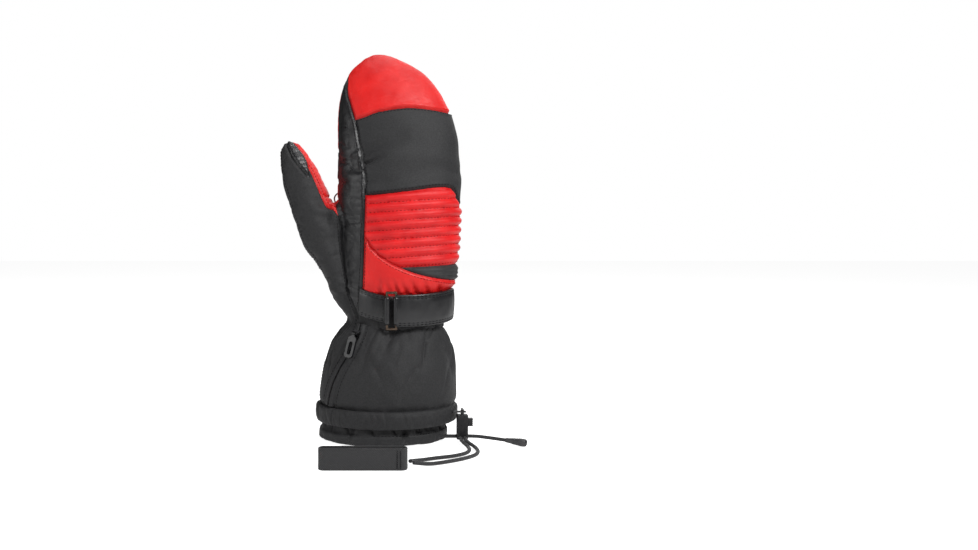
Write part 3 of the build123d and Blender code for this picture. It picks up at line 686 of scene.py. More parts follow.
def side_value(p):
    """Above 0 on the palm's side of the side seams, and below on the back's."""
    r = hand_oval(p[:, 2])
    share = np.interp(p[:, 0] - r[:, 0], (-30, 0, 30), (-0.08, 0.1, 0.2))
    return p[:, 1] - r[:, 1] - share * r[:, 3]


def on_thumb_value(p):
    """Below 0 on the thumb's side of its seams."""
    back = p[:, 0] - seam_at(THUMB_SEAM_BACK, p[:, 2])
    palm = p[:, 0] - seam_at(THUMB_SEAM_PALM, p[:, 2])
    return np.where(side_value(p) < 0, back, palm)


def angle(p):
    s, c, d, a, b = thumb_parts(p)
    return s, np.degrees(np.arctan2(d / b, c / a))


def outer_value(p):
    """Below 0 on the strip along the thumb's outer edge."""
    s, turn = angle(p)
    palm = p[:, 0] - seam_at(OUTER_SEAM, p[:, 2])
    back = (np.cos(math.radians(20)) - np.cos(np.radians(turn - 178))) * 18
    return np.where(turn > 0, palm, np.where(s < 0.16, back + (0.16 - s) * 60, back))


def thumb_red_value(p):
    """Above 0 on the thumb's red side."""
    s, turn = angle(p)
    edge = seam_at([(-0.3, 14), (0.28, 6), (0.36, -24), (0.42, -42), (0.6, -45), (0.8, -46), (0.95, -50),
                    (1.1, -50)], s)
    return np.where(turn > 130, 20, (turn - edge) * 0.3)


def tip_strip_value(p):
    """Below 0 on the glossy strip at the thumb's tip."""
    s, turn = angle(p)
    wide = 9.2 * np.clip((s - 0.72) / 0.16, 0, 1) ** 0.75 + 30 * np.clip(s - 0.93, 0, 1)
    return np.abs(turn + 60 + 60 * np.clip(s - 0.82, 0, 1)) * 0.3 - wide


def rib_value(p):
    return RIB_TOP + 0.065 * p[:, 0] - p[:, 2]


cutters = {
    "side": side_value,
    "thumb": on_thumb_value,
    "gusset": lambda p: p[:, 0] - seam_at(GUSSET_SEAM, p[:, 2]),
    "outer": outer_value,
    "red": thumb_red_value,
    "tip_strip": tip_strip_value,
    "tip": lambda p: p[:, 2] - seam_at(TIP_SEAM, p[:, 0]),
    "quilt": lambda p: p[:, 2] - seam_at(QUILT_TOP, p[:, 0]),
    "flex": lambda p: p[:, 2] - (146.2 + 0.04 * p[:, 0]),
    "swoosh": lambda p: p[:, 2] - seam_at(SWOOSH, p[:, 0]),
    "band_top": lambda p: p[:, 2] - seam_at(BAND_TOP, p[:, 0]),
    "band_low": lambda p: p[:, 2] - seam_at(BAND_LOW, p[:, 0]),
    "palm": lambda p: polygon_value(PALM_OUTLINE, p[:, 0], p[:, 2]),
}
PANELS = ["thumb_shell", "thumb_red", "thumb_outer", "thumb_tip_strip", "gusset_thumb", "fingertip",
          "finger_back", "knuckle_quilt", "flex", "swoosh", "palm", "palm_band", "gusset_palm",
          "wrist_back", "wrist_palm"]


def label(p):
    """Which panel each point belongs to."""
    g = {k: f(p) for k, f in cutters.items()}
    back, thumb = g["side"] < 0, g["thumb"] < 0
    out = np.full(len(p), PANELS.index("gusset_palm"))

    def say(where, name):
        out[where] = PANELS.index(name)

    palm = ~back & ~thumb
    say(palm & (p[:, 2] < 124) & (g["palm"] > 0) & (p[:, 0] < 39), "wrist_palm")
    say(palm & (g["palm"] < 0), "palm")
    say(palm & (g["palm"] < 0) & (g["band_top"] < 0) & (g["band_low"] > 0), "palm_band")
    on_back = back & ~thumb
    say(on_back, "swoosh")
    say(on_back & (g["flex"] < 0) & (g["swoosh"] > 0), "flex")
    say(on_back & (g["flex"] > 0) & (g["swoosh"] > 0), "knuckle_quilt")
    say(on_back & (g["quilt"] > 0), "finger_back")
    say(on_back & (g["tip"] > 0), "fingertip")
    say(on_back & (p[:, 2] < 123), "wrist_back")
    say(on_back & (g["gusset"] < 0), "gusset_thumb")
    say(thumb, "thumb_shell")
    say(thumb & (g["red"] > 0), "thumb_red")
    say(thumb & (g["tip_strip"] < 0), "thumb_tip_strip")
    say(thumb & (g["outer"] < 0), "thumb_outer")
    return out


def bend_fingers(o):
    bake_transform(o)


def bend_thumb(o):
    g = AXIS - 0.9 * ACROSS
    g /= g @ g
    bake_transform(o)


def bend(o):
    (bend_thumb if o.name.startswith("thumb") else bend_fingers)(o)


def on_hand(o):
    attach(o, "hand")


class Skin:
    """A skin of triangles cut into panels along its seams. Seams are values that cross 0."""

    def __init__(self, v, f, seams, label, names, fasten):
        for value in seams.values():
            v, f = cut(v, f, value)
        self.v, self.f, self.seams, self.names, self.fasten = v, f, seams, names, fasten
        self.owner = label(v[f].mean(1))
        edges = np.sort(np.concatenate([f[:, [0, 1]], f[:, [1, 2]], f[:, [2, 0]]]), 1)
        owner = np.tile(self.owner, 3)
        order = np.lexsort((edges[:, 1], edges[:, 0]))
        edges, owner = edges[order], owner[order]
        between = (edges[1:] == edges[:-1]).all(1) & (owner[1:] != owner[:-1])
        ends = v[edges[:-1][between]]
        tree = tree_of(np.concatenate([ends[:, 0], ends[:, 1], ends.mean(1)]))
        self.distance = np.array([tree.find(q)[2] for q in v.tolist()])
        self.normal = normals(v, f)
        # Each panel's share of a vertex, fading at its seams, so that a wrinkle can belong to one panel.
        self.share = {}
        for i, name in enumerate(names):
            inside = np.zeros(len(v))
            inside[np.unique(f[self.owner == i])] = 1
            self.share[name] = inside * np.clip(self.distance / 4.0, 0, 1)

    def shape(self, height):
        """Moves the skin along its normals. shown is where its vertices end up."""
        self.shown = self.v + self.normal * height[:, None]
        self.shown_normal = normals(self.shown, self.f)
        self.tree = tree_of(self.shown)

    def piece(self, name, material, *nodes):
        mine = self.f[self.owner == self.names.index(name)]
        used, where = np.unique(mine, return_inverse=True)
        part(name, self.shown[used], where.reshape(-1, 3), material, self.fasten, *nodes)

    def lines(self, seam, offset, where, pitch):
        """Points and directions along the lines where a seam's value is offset, on the named panels."""
        g = (seam if callable(seam) else self.seams[seam])(self.v) - offset
        mine = np.isin(self.owner, [self.names.index(w) for w in where])
        found = [even(line, pitch) for line in contours(self.v, self.f[mine], g, self.shown)]
        return [e for e in found if e is not None]

    def up(self, points):
        return np.array([self.shown_normal[self.tree.find(q)[1]] for q in points.tolist()])

    def stitches(self, name, material, rows, size=(2.1, 0.62, 0.55)):
        """Rows of stitches, each given as lines() takes it."""
        found = [(points, along, self.up(points)) for row in rows for points, along in self.lines(*row)]
        sew(name, *map(np.concatenate, zip(*found)), self.fasten, size, material)

    def piping(self, name, material, row, radius):
        turn = turns(8)[:, None, None]
        for k, (points, along) in enumerate(self.lines(*row)):
            up = self.up(points)
            side = np.cross(along, up)
            rings = points + side * (radius * np.cos(turn)) + up * (radius * np.sin(turn) + 0.3 * radius)
            part(f"{name}_{k}", *tube_mesh(rings.transpose(1, 0, 2)), material, self.fasten, slot=False)

v, f = skin()
hand = Skin(v, f[v[f].mean(1)[:, 2] > 95.5], cutters, label, PANELS, bend)


def line_fold(p, start, end, wide):
    """1 along a line from start to end, given as (x, z), fading to the sides and at its ends."""
    a, b = np.array(start, float), np.array(end, float)
    q = p[:, [0, 2]] - a
    t = q @ (b - a) / ((b - a) @ (b - a))
    off = np.abs(q @ np.array((a[1] - b[1], b[0] - a[0]))) / np.linalg.norm(b - a)
    return np.exp(-(off / wide) ** 2) * np.clip(1 - t, 0, 1) ** 0.8 * np.clip(t * 6 + 1, 0, 1)


def hand_relief(p, d, share):
    """How far each vertex stands off the plain shape, in mm."""
    x, y, z = p.T
    h = -1.5 * hill(d, 0, 1.1) - 0.7 * hill(d, 0, 3.6) + 0.25
    h += 0.55 * hill(d, 2.6, 1.3)                          # the turned edge under the top stitching
    # Channels across the knuckles, each a soft roll.
    r = rib_value(p) / RIB_PITCH
    roll = np.abs(np.sin(np.pi * r)) ** 0.6
    h += share["knuckle_quilt"] * (3.5 * roll - 2.4 + 0.5 * (soft_noise(p / 9.0, 3) - 0.5))
    r = (z - 146.2) / 3.3
    h += share["flex"] * (1.5 * np.abs(np.sin(np.pi * r)) ** 0.7 - 0.9)
    # Leather creases.
    cross = folds(table(x / 26, y / 26, z / 9), 11, 1.1)
    down = folds(table(x / 8, y / 10, z / 34), 5, 1.5)
    h -= share["gusset_thumb"] * 2.1 * cross * (hill(z, 232, 15) + 0.7 * hill(z, 190, 12))
    h -= share["gusset_thumb"] * 0.45 * folds(table(x / 12, y / 12, (z + 0.7 * x) / 10), 21, 1.5)
    h -= share["gusset_palm"] * 1.0 * folds(table(x / 18, y / 14, z / 13), 31, 1.6)
    h -= share["fingertip"] * 0.3 * folds(table(x / 20, y / 16, z / 14), 41, 1.4)
    # Gathers that run down the palm from the crotch of the thumb, and up from the elastic wrist.
    h -= share["palm"] * (1.5 * down * hill(x, -24, 26) * np.clip((214 - z) / 60, 0, 1)
                          + 0.55 * folds(table(x / 11, y / 11, z / 24), 8, 1.3))
    h -= share["palm_band"] * 0.8 * folds(table(x / 16, y / 14, (z - 0.4 * x) / 18), 9, 1.5)
    low = np.clip((142 - z) / 22, 0, 1)
    bearing = np.arctan2(x - 9, -y) * 44
    gather = np.abs(np.sin(bearing / 5.2 + 1.7 * soft_noise(table(bearing / 9, z / 30, 0), 2)))
    h -= low * 1.2 * (1 - gather) ** 1.5 * (1 - share["thumb_outer"])
    h -= (share["wrist_palm"] > 0) * 0.8 * (1 - np.abs(np.sin(bearing / 2.1)))
    h -= share["swoosh"] * 1.0 * folds(table((x + z) / 9, y / 12, z / 16), 14, 1.3) * low
    # Thumb.
    s, c, dd, a, b = thumb_parts(p)
    crease = folds(table(c / 22, dd / 22, s * 13), 51, 1.5)
    h -= (share["thumb_shell"] * 0.9 + share["thumb_red"] * 0.7 * np.clip((s - 0.5) * 6, 0.15, 1)
          + share["thumb_outer"] * 0.7) * crease
    h -= share["thumb_red"] * 1.3 * np.exp(-((z + 0.25 * x - 193.5) / 0.9) ** 2)
    h -= share["thumb_tip_strip"] * 0.8 * folds(table(c / 30, dd / 30, s * 30), 53, 1.2)
    h -= share["thumb_shell"] * (1.6 * line_fold(p, (-50, 188), (-74, 192), 3.0)
                                 + 1.2 * line_fold(p, (-52, 199), (-72, 208), 3.5))
    # Folds at the knuckles' gusset, and dark gathers above the strap.
    back = (share["finger_back"] > 0) * np.clip(d / 1.5, 0, 1)
    for start, end, wide, deep in (((-23, 231), (0, 240), 2.0, 6.5), ((-25, 240), (20, 256), 6.0, 5.2),
                                   ((-20, 217), (4, 219), 2.6, 2.0), ((60, 226), (34, 233), 5.0, 2.0)):
        h -= back * deep * line_fold(p, start, end, wide)
    low_red = (share["swoosh"] > 0) * np.clip(d / 1.5, 0, 1)
    for x0, lean, deep in ((3, 4, 2.6), (11, 7, 3.6), (19, 9, 3.2), (27, 8, 3.8), (36, 6, 2.8), (46, 4, 2.2),
                           (-8, -3, 1.6)):
        h -= low_red * deep * line_fold(p, (x0, 121), (x0 - lean, 138), 1.9)
    # The cloth bags a little over the wrist at the thumb's foot.
    bag = np.exp(-(((x + 34) / 13) ** 2 + ((z - 128) / 10) ** 2))
    h += 4.2 * bag - 1.6 * bag * np.abs(np.sin(z / 2.6 + x / 9))
    # Broad softness.
    h += 1.5 * (soft_noise(p / 30.0, 61) - 0.5) + 0.6 * (soft_noise(p / 12.0, 62) - 0.5)
    h += share["finger_back"] * (1.9 * (soft_noise(table(x / 26, y / 26, z / 16), 71) - 0.5))
    return h


hand.shape(hand_relief(hand.v, hand.distance, hand.share))

# Each panel's material, and the CAD nodes that it stands for.
PANEL_PIECES = {
    "thumb_shell": (SOFTSHELL, "thumb_base_back", "thumb_back"),
    "thumb_red": (RED_LEATHER, "thumb_base_palm", "thumb_palm"),
    "thumb_outer": (BLACK_LEATHER, "thumb_outer_strip"),
    "thumb_tip_strip": (BLACK_LEATHER, "thumb_tip_patch"),
    "gusset_thumb": (BLACK_LEATHER, "gusset_thumb_side"), "fingertip": (RED_LEATHER, "fingertip_panel"),
    "finger_back": (SOFTSHELL, "finger_back_panel"), "knuckle_quilt": (RED_STRETCH, "knuckle_quilt"),
    "flex": (BLACK_STRETCH, "flex_panel"), "swoosh": (RED_LEATHER, "back_lower_panel"),
    "palm": (RED_LEATHER, "palm_leather", "finger_palm_leather"),
    "palm_band": (BLACK_LEATHER, "palm_band", "finger_band"),
    "gusset_palm": (BLACK_LEATHER, "gusset_little_finger_side", "finger_gusset"),
    "wrist_back": (SOFTSHELL,), "wrist_palm": (SOFTSHELL,),
}
for name, (material, *nodes) in PANEL_PIECES.items():
    if (hand.owner == PANELS.index(name)).any():
        hand.piece(name, material, *nodes)

# Rows of stitches: the seam, how far from it, on which panels, and the pitch.
ROWS = {
    "stitch_back": (DARK_THREAD, [
        ("tip", -2.2, ["finger_back"], 2.9), ("gusset", 2.0, ["finger_back"], 2.9),
        ("gusset", 2.0, ["swoosh"], 2.9), ("quilt", 2.2, ["finger_back"], 2.9),
        ("gusset", -2.0, ["gusset_thumb"], 2.9)]),
    "stitch_palm": (DARK_THREAD, [
        ("band_top", -1.8, ["palm_band"], 2.8), ("band_top", -4.6, ["palm_band"], 2.8),
        ("band_low", 1.8, ["palm_band"], 2.8), ("band_low", 4.6, ["palm_band"], 2.8),
        ("palm", 2.2, ["gusset_palm"], 2.8)]),
    "stitch_palm_red": (RED_THREAD, [
        ("thumb", 2.0, ["palm"], 2.8), ("thumb", 4.6, ["palm"], 2.8), ("palm", -2.2, ["palm"], 2.8),
        ("swoosh", -2.6, ["swoosh"], 2.8)]),
    "thumb_stitch": (DARK_THREAD, [
        ("outer", 2.0, ["thumb_shell"], 2.9), ("thumb", -2.0, ["thumb_shell"], 2.9),
        ("outer", -1.8, ["thumb_outer"], 2.9)]),
    "thumb_stitch_red": (RED_THREAD, [
        ("red", 2.0, ["thumb_red"], 2.8), ("outer", 2.0, ["thumb_red"], 2.8)]),
}
for name, (thread, rows) in ROWS.items():
    hand.stitches(name, thread, rows)
hand.stitches("stitch_ribs", RED_THREAD,
              [(rib_value, k * RIB_PITCH, ["knuckle_quilt"], 3.2) for k in range(1, 9)], (1.7, 0.65, 0.65))
hand.piping("swoosh_piping", RED_STRETCH, ("swoosh", -0.6, ["swoosh"], 1.2), 0.55)

# ---- lining of the hand, seen up through the cuff --------------------------------------------------

rings = hand_tube(LINING_IN, 64)
wobble = soft_noise(rings.reshape(-1, 3) / 14.0, 81).reshape(rings.shape[:2])
centre = rings.mean(1, keepdims=True)
rings = centre + (rings - centre) * (1 - 0.03 * wobble[..., None])
n, m = rings.shape[:2]
part("hand_lining_cloth", np.concatenate([rings.reshape(-1, 3), [rings[-1].mean(0)]]),
     grid_faces(n, m).tolist() + [[n * m, (n - 1) * m + j, (n - 1) * m + (j + 1) % m] for j in range(m)],
     FLEECE, bend_fingers, "hand_lining", "finger_lining", "hand_padding", "finger_padding")
part("thumb_lining_cloth", *tube_mesh(thumb_tube(LINING_IN, 48, 60)), FLEECE, bend_thumb,
     "thumb_base_padding", "thumb_padding", "thumb_lining")

# ---- the cuff -----------------------------------------------------------------------------------

ZIP_LINE = [(104, -19.5), (99, -20.5), (88, -24), (75, -30.5), (62, -38), (46, -44.5), (31, -47.5), (25, -48)]
PULL_TOP, PULL_LOW = (-31.0, 106.0), (-52.0, 20.0)


def bearing(p, middle=3.0):
    """Degrees round from the back of the hand, 90 on the little finger's side."""
    return np.degrees(np.arctan2((p[:, 0] - middle) / 1.3, -p[:, 1]))


def cuff_rings(depth, low, high, rows, columns):
    z = np.linspace(low, high, rows)
    x, y, wide, deep = cuff_oval(z).T[..., None]
    t = turns(columns)
    return np.stack([x + (wide - depth) * np.cos(t), y + (deep - depth) * np.sin(t),
                     np.repeat(z[:, None], columns, 1)], -1)


def zip_value(p):
    return np.where(p[:, 1] < 0, p[:, 0] - seam_at(ZIP_LINE, p[:, 2]), 30)


def pull_value(p):
    x = p[:, 0] - np.interp(p[:, 2], (PULL_LOW[1], PULL_TOP[1]), (PULL_LOW[0], PULL_TOP[0])) - 3
    return np.where(p[:, 1] > 0, x, 30)


def pinky_value(p):
    return np.where(p[:, 1] < 0, 30, (np.interp(p[:, 2], (31, 104), (124, 141)) - bearing(p) % 360) * 0.8)


def cuff_label(p):
    side = ((p[:, 1] < 0) & (zip_value(p) < 0)) | ((p[:, 1] >= 0) & (pull_value(p) < 0))
    palm = (p[:, 1] > 0) & (pinky_value(p) < 0)
    return np.where(side, 0, np.where(palm, 2, 1))


columns, rows = ((320, 90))
rings = cuff_rings(0, 26.0, 103.5, rows, columns)
quads = grid_faces(rows, columns)
cuff = Skin(rings.reshape(-1, 3), np.concatenate([quads[:, [0, 1, 2]], quads[:, [0, 2, 3]]]),
            {"zip": zip_value, "pull": pull_value, "pinky": pinky_value}, cuff_label,
            ["cuff_side", "cuff_back", "cuff_palm"], on_hand)


def cuff_relief(p, d):
    x, y, z = p.T
    b = bearing(p)
    high = np.clip((z - 52) / 44, 0, 1)
    calm = np.where(y < 0, np.clip((np.abs(zip_value(p)) - 4) / 12, 0.05, 1),
                    np.clip((np.abs(pull_value(p) + 3) - 5) / 9, 0.12, 1))
    h = 0.0
    # Gathers that fan down from the elastic wrist, close together on the palm's side and broad on the back.
    wander = 22 * soft_noise(table(b / 40, z / 26, 0), 101)
    palm_side = np.exp(-((np.abs(b) - 180) / 62) ** 2)
    fine = np.abs(np.sin(np.radians((b + wander) * 13)))
    broad = np.abs(np.sin(np.radians((b + 2.2 * wander) * 4.2 + 25)))
    h -= 3.0 * palm_side * high ** 2.6 * (1 - fine) ** 1.2
    h -= 2.6 * (1 - 0.6 * palm_side) * high ** 1.7 * (1 - broad) ** 1.6
    # Soft folds in the body of the cuff, running down and outwards.
    slope = table(b / 24 + z / 55, z / 60, 0)
    h -= 2.5 * folds(slope, 111, 1.8) * np.clip((z - 40) / 25, 0.15, 1)
    h -= 1.6 * folds(table(b / 15 - z / 40, z / 42, 0), 121, 2.2) * np.clip((z - 34) / 40, 0.1, 1)
    h += 2.4 * (soft_noise(p / 26.0, 131) - 0.5) + 0.7 * (soft_noise(p / 9.0, 132) - 0.5)
    h = h * calm - 1.3 * hill(d, 0, 1.0) - 0.8 * hill(d, 0, 4.0) + 0.3
    h += 0.5 * hill(d, 2.8, 1.3)
    # The cloth tucks into the roll's top seam in small puckers.
    tuck = hill(z, 29.5, 3.0)
    h -= tuck * (1.3 + 0.7 * np.abs(np.sin(np.radians(b * 17 + wander * 6))))
    h -= 1.2 * np.clip((z - 98) / 5, 0, 1)
    under_tag = np.exp(-(np.linalg.norm(p - (48.7, 29.0, 52.8), axis=1) / 15) ** 2)
    return np.clip(h * (1 - under_tag) + 1.3 * under_tag, -5, 1.5)


cuff.shape(cuff_relief(cuff.v, cuff.distance))
cuff.piece("cuff_side", SOFTSHELL, "cuff_side_panel")
cuff.piece("cuff_back", SOFTSHELL, "cuff_back_panel", "cuff_padding")
cuff.piece("cuff_palm", SOFTSHELL, "cuff_palm_panel")
cuff.stitches("cuff_stitch", DARK_THREAD, [
    ("pinky", 2.2, ["cuff_back"], 2.9), ("zip", 5.6, ["cuff_back"], 2.9), ("zip", -5.6, ["cuff_side"], 2.9)])


def strip(name, line, pitch, profile, material, *nodes):
    """A long piece that follows a line on the cuff: profile is (sideways, height) points across it."""
    run = lengths(line)
    line = points_at(line, run, np.linspace(0, run[-1], int(run[-1] / pitch)))
    along = unit(np.gradient(line, axis=0))
    r = cuff_oval(line[:, 2])
    up = unit(table((line[:, 0] - r[:, 0]) / r[:, 2] ** 2, line[:, 1] / r[:, 3] ** 2, 0))
    up = unit(np.cross(np.cross(along, up), along))
    side = unit(np.cross(along, up))
    rings = np.stack([line + side * s + up * h for s, h in profile], 1)
    part(name, *tube_mesh(rings), material, on_hand, *nodes)
    return line, up, side


def on_cuff(x, z, sign):
    """Points on the cuff's plain shape: on the back with a sign of -1, on the palm with 1."""
    r = cuff_oval(z)
    return table(x, sign * r[:, 3] * np.sqrt(np.maximum(1 - ((x - r[:, 0]) / r[:, 2]) ** 2, 0)), z)


# The zip: two welts of the cuff's cloth that nearly meet over a fine coil.
z = np.linspace(99.0, 31.5, 60)
zip_path = on_cuff(seam_at(ZIP_LINE, z), z, -1)
WELT = [(0.6, -0.8), (0.6, 1.4), (0.95, 1.9), (2.2, 1.85), (3.6, 1.2), (5.0, -0.3), (4.6, -1.2)]
strip("zip_welt_right", zip_path, 1.5, WELT, SOFTSHELL, "zip_tape")
strip("zip_welt_left", zip_path, 1.5, [(-a, b) for a, b in WELT[::-1]], SOFTSHELL)
run = lengths(zip_path)
points = points_at(zip_path, run, np.arange(7.0, run[-1] - 1, 0.95))
up = cuff.up(points)
across = np.cross(unit(np.gradient(points, axis=0)), up)
part("zip_coil", *capsules(points + up * 1.75, across, up, 2.2, 0.62, 0.7), BLACK_PLASTIC, on_hand,
     "zip_teeth")

# The webbing pull strap on the palm side, and its sewn ends.
x, z = (top + (low - top) * np.linspace(0.09, 0.87, 40) for top, low in zip(PULL_TOP, PULL_LOW))
profile = [(-4.6, 0.0), (-4.5, 1.3), (-3.9, 1.75), (-1.5, 1.65), (1.5, 1.65), (3.9, 1.75), (4.5, 1.3),
           (4.6, 0.0), (0, -0.8)]
line, up, side = strip("pull_webbing", on_cuff(x, z, 1), 1.4, profile, WEBBING, "pull_strap")
sewn = [4, 7, -12, -9]
points = (line[sewn] + up[sewn] * 1.8)[:, None] + side[sewn][:, None] * np.linspace(-3.6, 3.6, 6)[:, None]
sew("pull_stitch", points.reshape(-1, 3), np.repeat(side[sewn], 6, 0), np.repeat(up[sewn], 6, 0), on_hand,
    (1.1, 0.6, 0.6))

# ---- padded roll, snow skirt and hem ---------------------------------------------------------------


def hoop(name, profile, relief, material, columns, *nodes):
    """A closed ring. profile gives each oval's middle, half width, half depth and height."""
    t = turns(columns)
    v = np.concatenate([table(mid + a * np.cos(t), b * np.sin(t), z) for mid, a, b, z in profile])
    n, j = len(profile), np.arange(columns)
    last = table((n - 1) * columns + j, (n - 1) * columns + (j + 1) % columns, (j + 1) % columns, j)
    out = unit((v - v.mean(0)) * (1, 1, 0))
    faces = grid_faces(n, columns).tolist() + last.tolist()
    return part(name, relief(v, out), faces, material, on_hand, *nodes)


def between(share, z):
    """An oval between the skirt's, at share 0, and the roll's outside, at share 1."""
    return (-2.0 + 2.5 * share, 53.7 + 7.7 * share, 40.7 + 5.7 * share, z)


def roll_relief(v, out):
    b, z = bearing(v, 0.5), v[:, 2]
    outer = np.clip((np.hypot((v[:, 0] - 0.5) / 61.5, v[:, 1] / 46.5) - 0.9) / 0.1, 0, 1)
    seam = -1.3 * hill(b, -50, 1.1) - 1.0 * hill(b, 124, 1.1) \
        - 1.0 * hill(b, -152, 1.1)
    pucker = np.abs(np.sin(np.radians(b * 15 + 90 * soft_noise(table(b / 9, 0, 0), 5))))
    edge = hill(z, 28.5, 2.6) + 0.7 * hill(z, 15.5, 2.4)
    h = outer * (seam - 0.9 * edge * (1 - pucker) + 0.9 * (soft_noise(table(b / 14, z / 12, 0), 6) - 0.5)
                 - 0.9 * folds(table(b / 7 + z / 16, z / 14, 0), 7, 2.0))
    v = v + out * np.clip(h, -2.5, 0.6)[:, None]
    v[:, 2] += outer * 0.9 * (soft_noise(table(b / 20, 0, 0), 8) - 0.5)
    return v


profile = [between(s, z) for s, z in (
    (0.0, 18.0), (0.0, 28.5), (0.25, 29.4), (0.52, 29.8), (0.78, 29.3), (0.93, 28.0), (0.99, 26.4),
    (1.0, 24.6), (1.0, 22.6), (1.0, 20.6), (0.98, 18.6), (0.91, 16.8), (0.76, 15.5), (0.5, 14.9),
    (0.2, 15.2))]
roll = hoop("roll", profile, roll_relief, SOFTSHELL, 400, "hem_roll")


def skirt_relief(v, out):
    b, z = bearing(v, -2.0), v[:, 2]
    free = np.clip((z - 8.5) / 3.0, 0, 1) * np.clip((30 - z) / 10, 0, 1)
    n = table(b / 11 + z / 18, z / 13, 0)
    h = -2.6 * free * folds(n, 21, 1.6) - 1.3 * free * soft_noise(table(b / 6, z / 9, 0), 22)
    # One deep fold on the back, a little to the right of the middle, and two more round the hem.
    for at, wide, deep in ((19, 2.4, 2.6), (-31, 2.0, 1.6), (96, 3.0, 1.8), (166, 2.4, 2.0),
                           (-120, 2.6, 1.6)):
        side = (b - at - 0.25 * (z - 9)) / wide
        h += -deep * np.exp(-side ** 2) * np.clip(z / 9, 0.2, 1) * (z > 1) + 0.5 * np.exp(-(side - 2) ** 2)
    # Stitching holds the tunnel's top edge in, and the drawcord puckers the hem.
    h -= 0.9 * hill(z, 8.9, 0.7)
    h += 0.6 * (soft_noise(table(b / 7, z / 6, 0), 23) - 0.5)
    ripple = np.abs(np.sin(np.radians(b * 12 + 160 * soft_noise(table(b / 12, 0, 0), 24))))
    h -= 0.7 * np.clip((9 - z) / 6, 0, 1) * (1 - ripple) ** 1.3
    flare = 1.4 * np.clip((14 - z) / 8, 0, 1) * np.clip(-v[:, 0] / 30, 0, 1)
    v = v + out * (np.clip(h, -3.6, 0.8) + flare)[:, None]
    low = z < 3
    v[low, 2] += 0.7 * soft_noise(table(b / 8, 0, 0), 25)[low]
    v[:, 2] = np.maximum(v[:, 2], 0.05)
    return v


def skirt_oval(z, inward):
    grown = 0.0 if z > 9.4 else 1.0
    return (-2.0, 53.5 + grown - inward, 40.5 + grown - inward, z)


profile = [skirt_oval(z, 0) for z in (*np.linspace(22, 9.6, 14), *np.linspace(8.9, 1.6, 10))]
profile += [skirt_oval(z, inward) for z, inward in (
    (0.5, 0.6), (0.0, 1.8), (0.1, 3.4), (0.9, 4.6), (5, 4.9), (8.6, 4.4), (9.8, 2.2), (22, 2.2))]
hoop("skirt", profile, skirt_relief, SOFTSHELL, 420, "snow_skirt", "skirt_tunnel")
t = turns(110)
points = table(-2 + 54.1 * np.cos(t), 41.1 * np.sin(t), 8.9)
level = unit(table(-54.1 * np.sin(t), 41.1 * np.cos(t), 0))
out = np.cross(level, (0, 0, 1.0))
sew("hem_stitch", points - out * 0.6, level, out, on_hand, (1.9, 0.6, 0.7))

# The cuff's lining, seen from below.
rings = cuff_rings(5.2, 20.0, 101.0, 44, 120)
flat = rings.reshape(-1, 3)
b = bearing(flat)
middle = rings.mean(1, keepdims=True)
share_in = 0.02 + 0.05 * soft_noise(table(b / 12, flat[:, 2] / 16, 0), 33).reshape(rings.shape[:2])
rings = middle + (rings - middle) * (1 - share_in[..., None])
part("cuff_lining_cloth", rings.reshape(-1, 3), grid_faces(44, 120)[:, ::-1].tolist(), FLEECE, on_hand,
     "cuff_lining")

# ---- wrist strap ------------------------------------------------------------------------------------

STRAP = (8.8, 43.8, 31.1)      # middle x, half width and half depth of the wrist
CORNER_TOP = 0.35              # a rounded corner cuts in less at the strap's upper edge


def strap_rise(deg):
    """The strap climbs towards both ends from the wire ring."""
    return 6.0 * (max(-5 - deg, 0) / 35) ** 1.3 + 4.5 * (min(max(deg - 12, 0), 74) / 74) ** 1.6


def strap_oval(deg, grown):
    """x and y on the strap's oval grown by so much, and the ways out of it and along it."""
    mid, a, b = STRAP
    a, b, s, c = a + grown, b + grown, math.sin(math.radians(deg)), math.cos(math.radians(deg))
    return mid + a * s, -b * c, unit(np.array([s / a, -c / b, 0])), unit(np.array([a * c, b * s, 0]))


def corner_cut(degrees_left, corner):
    """How far a rounded corner cuts in, so many degrees before the strap's end."""
    arc = abs(math.radians(degrees_left)) * (STRAP[1] + STRAP[2]) / 2
    return corner - math.sqrt(max(corner ** 2 - (corner - arc) ** 2, 0)) if arc < corner else 0.0


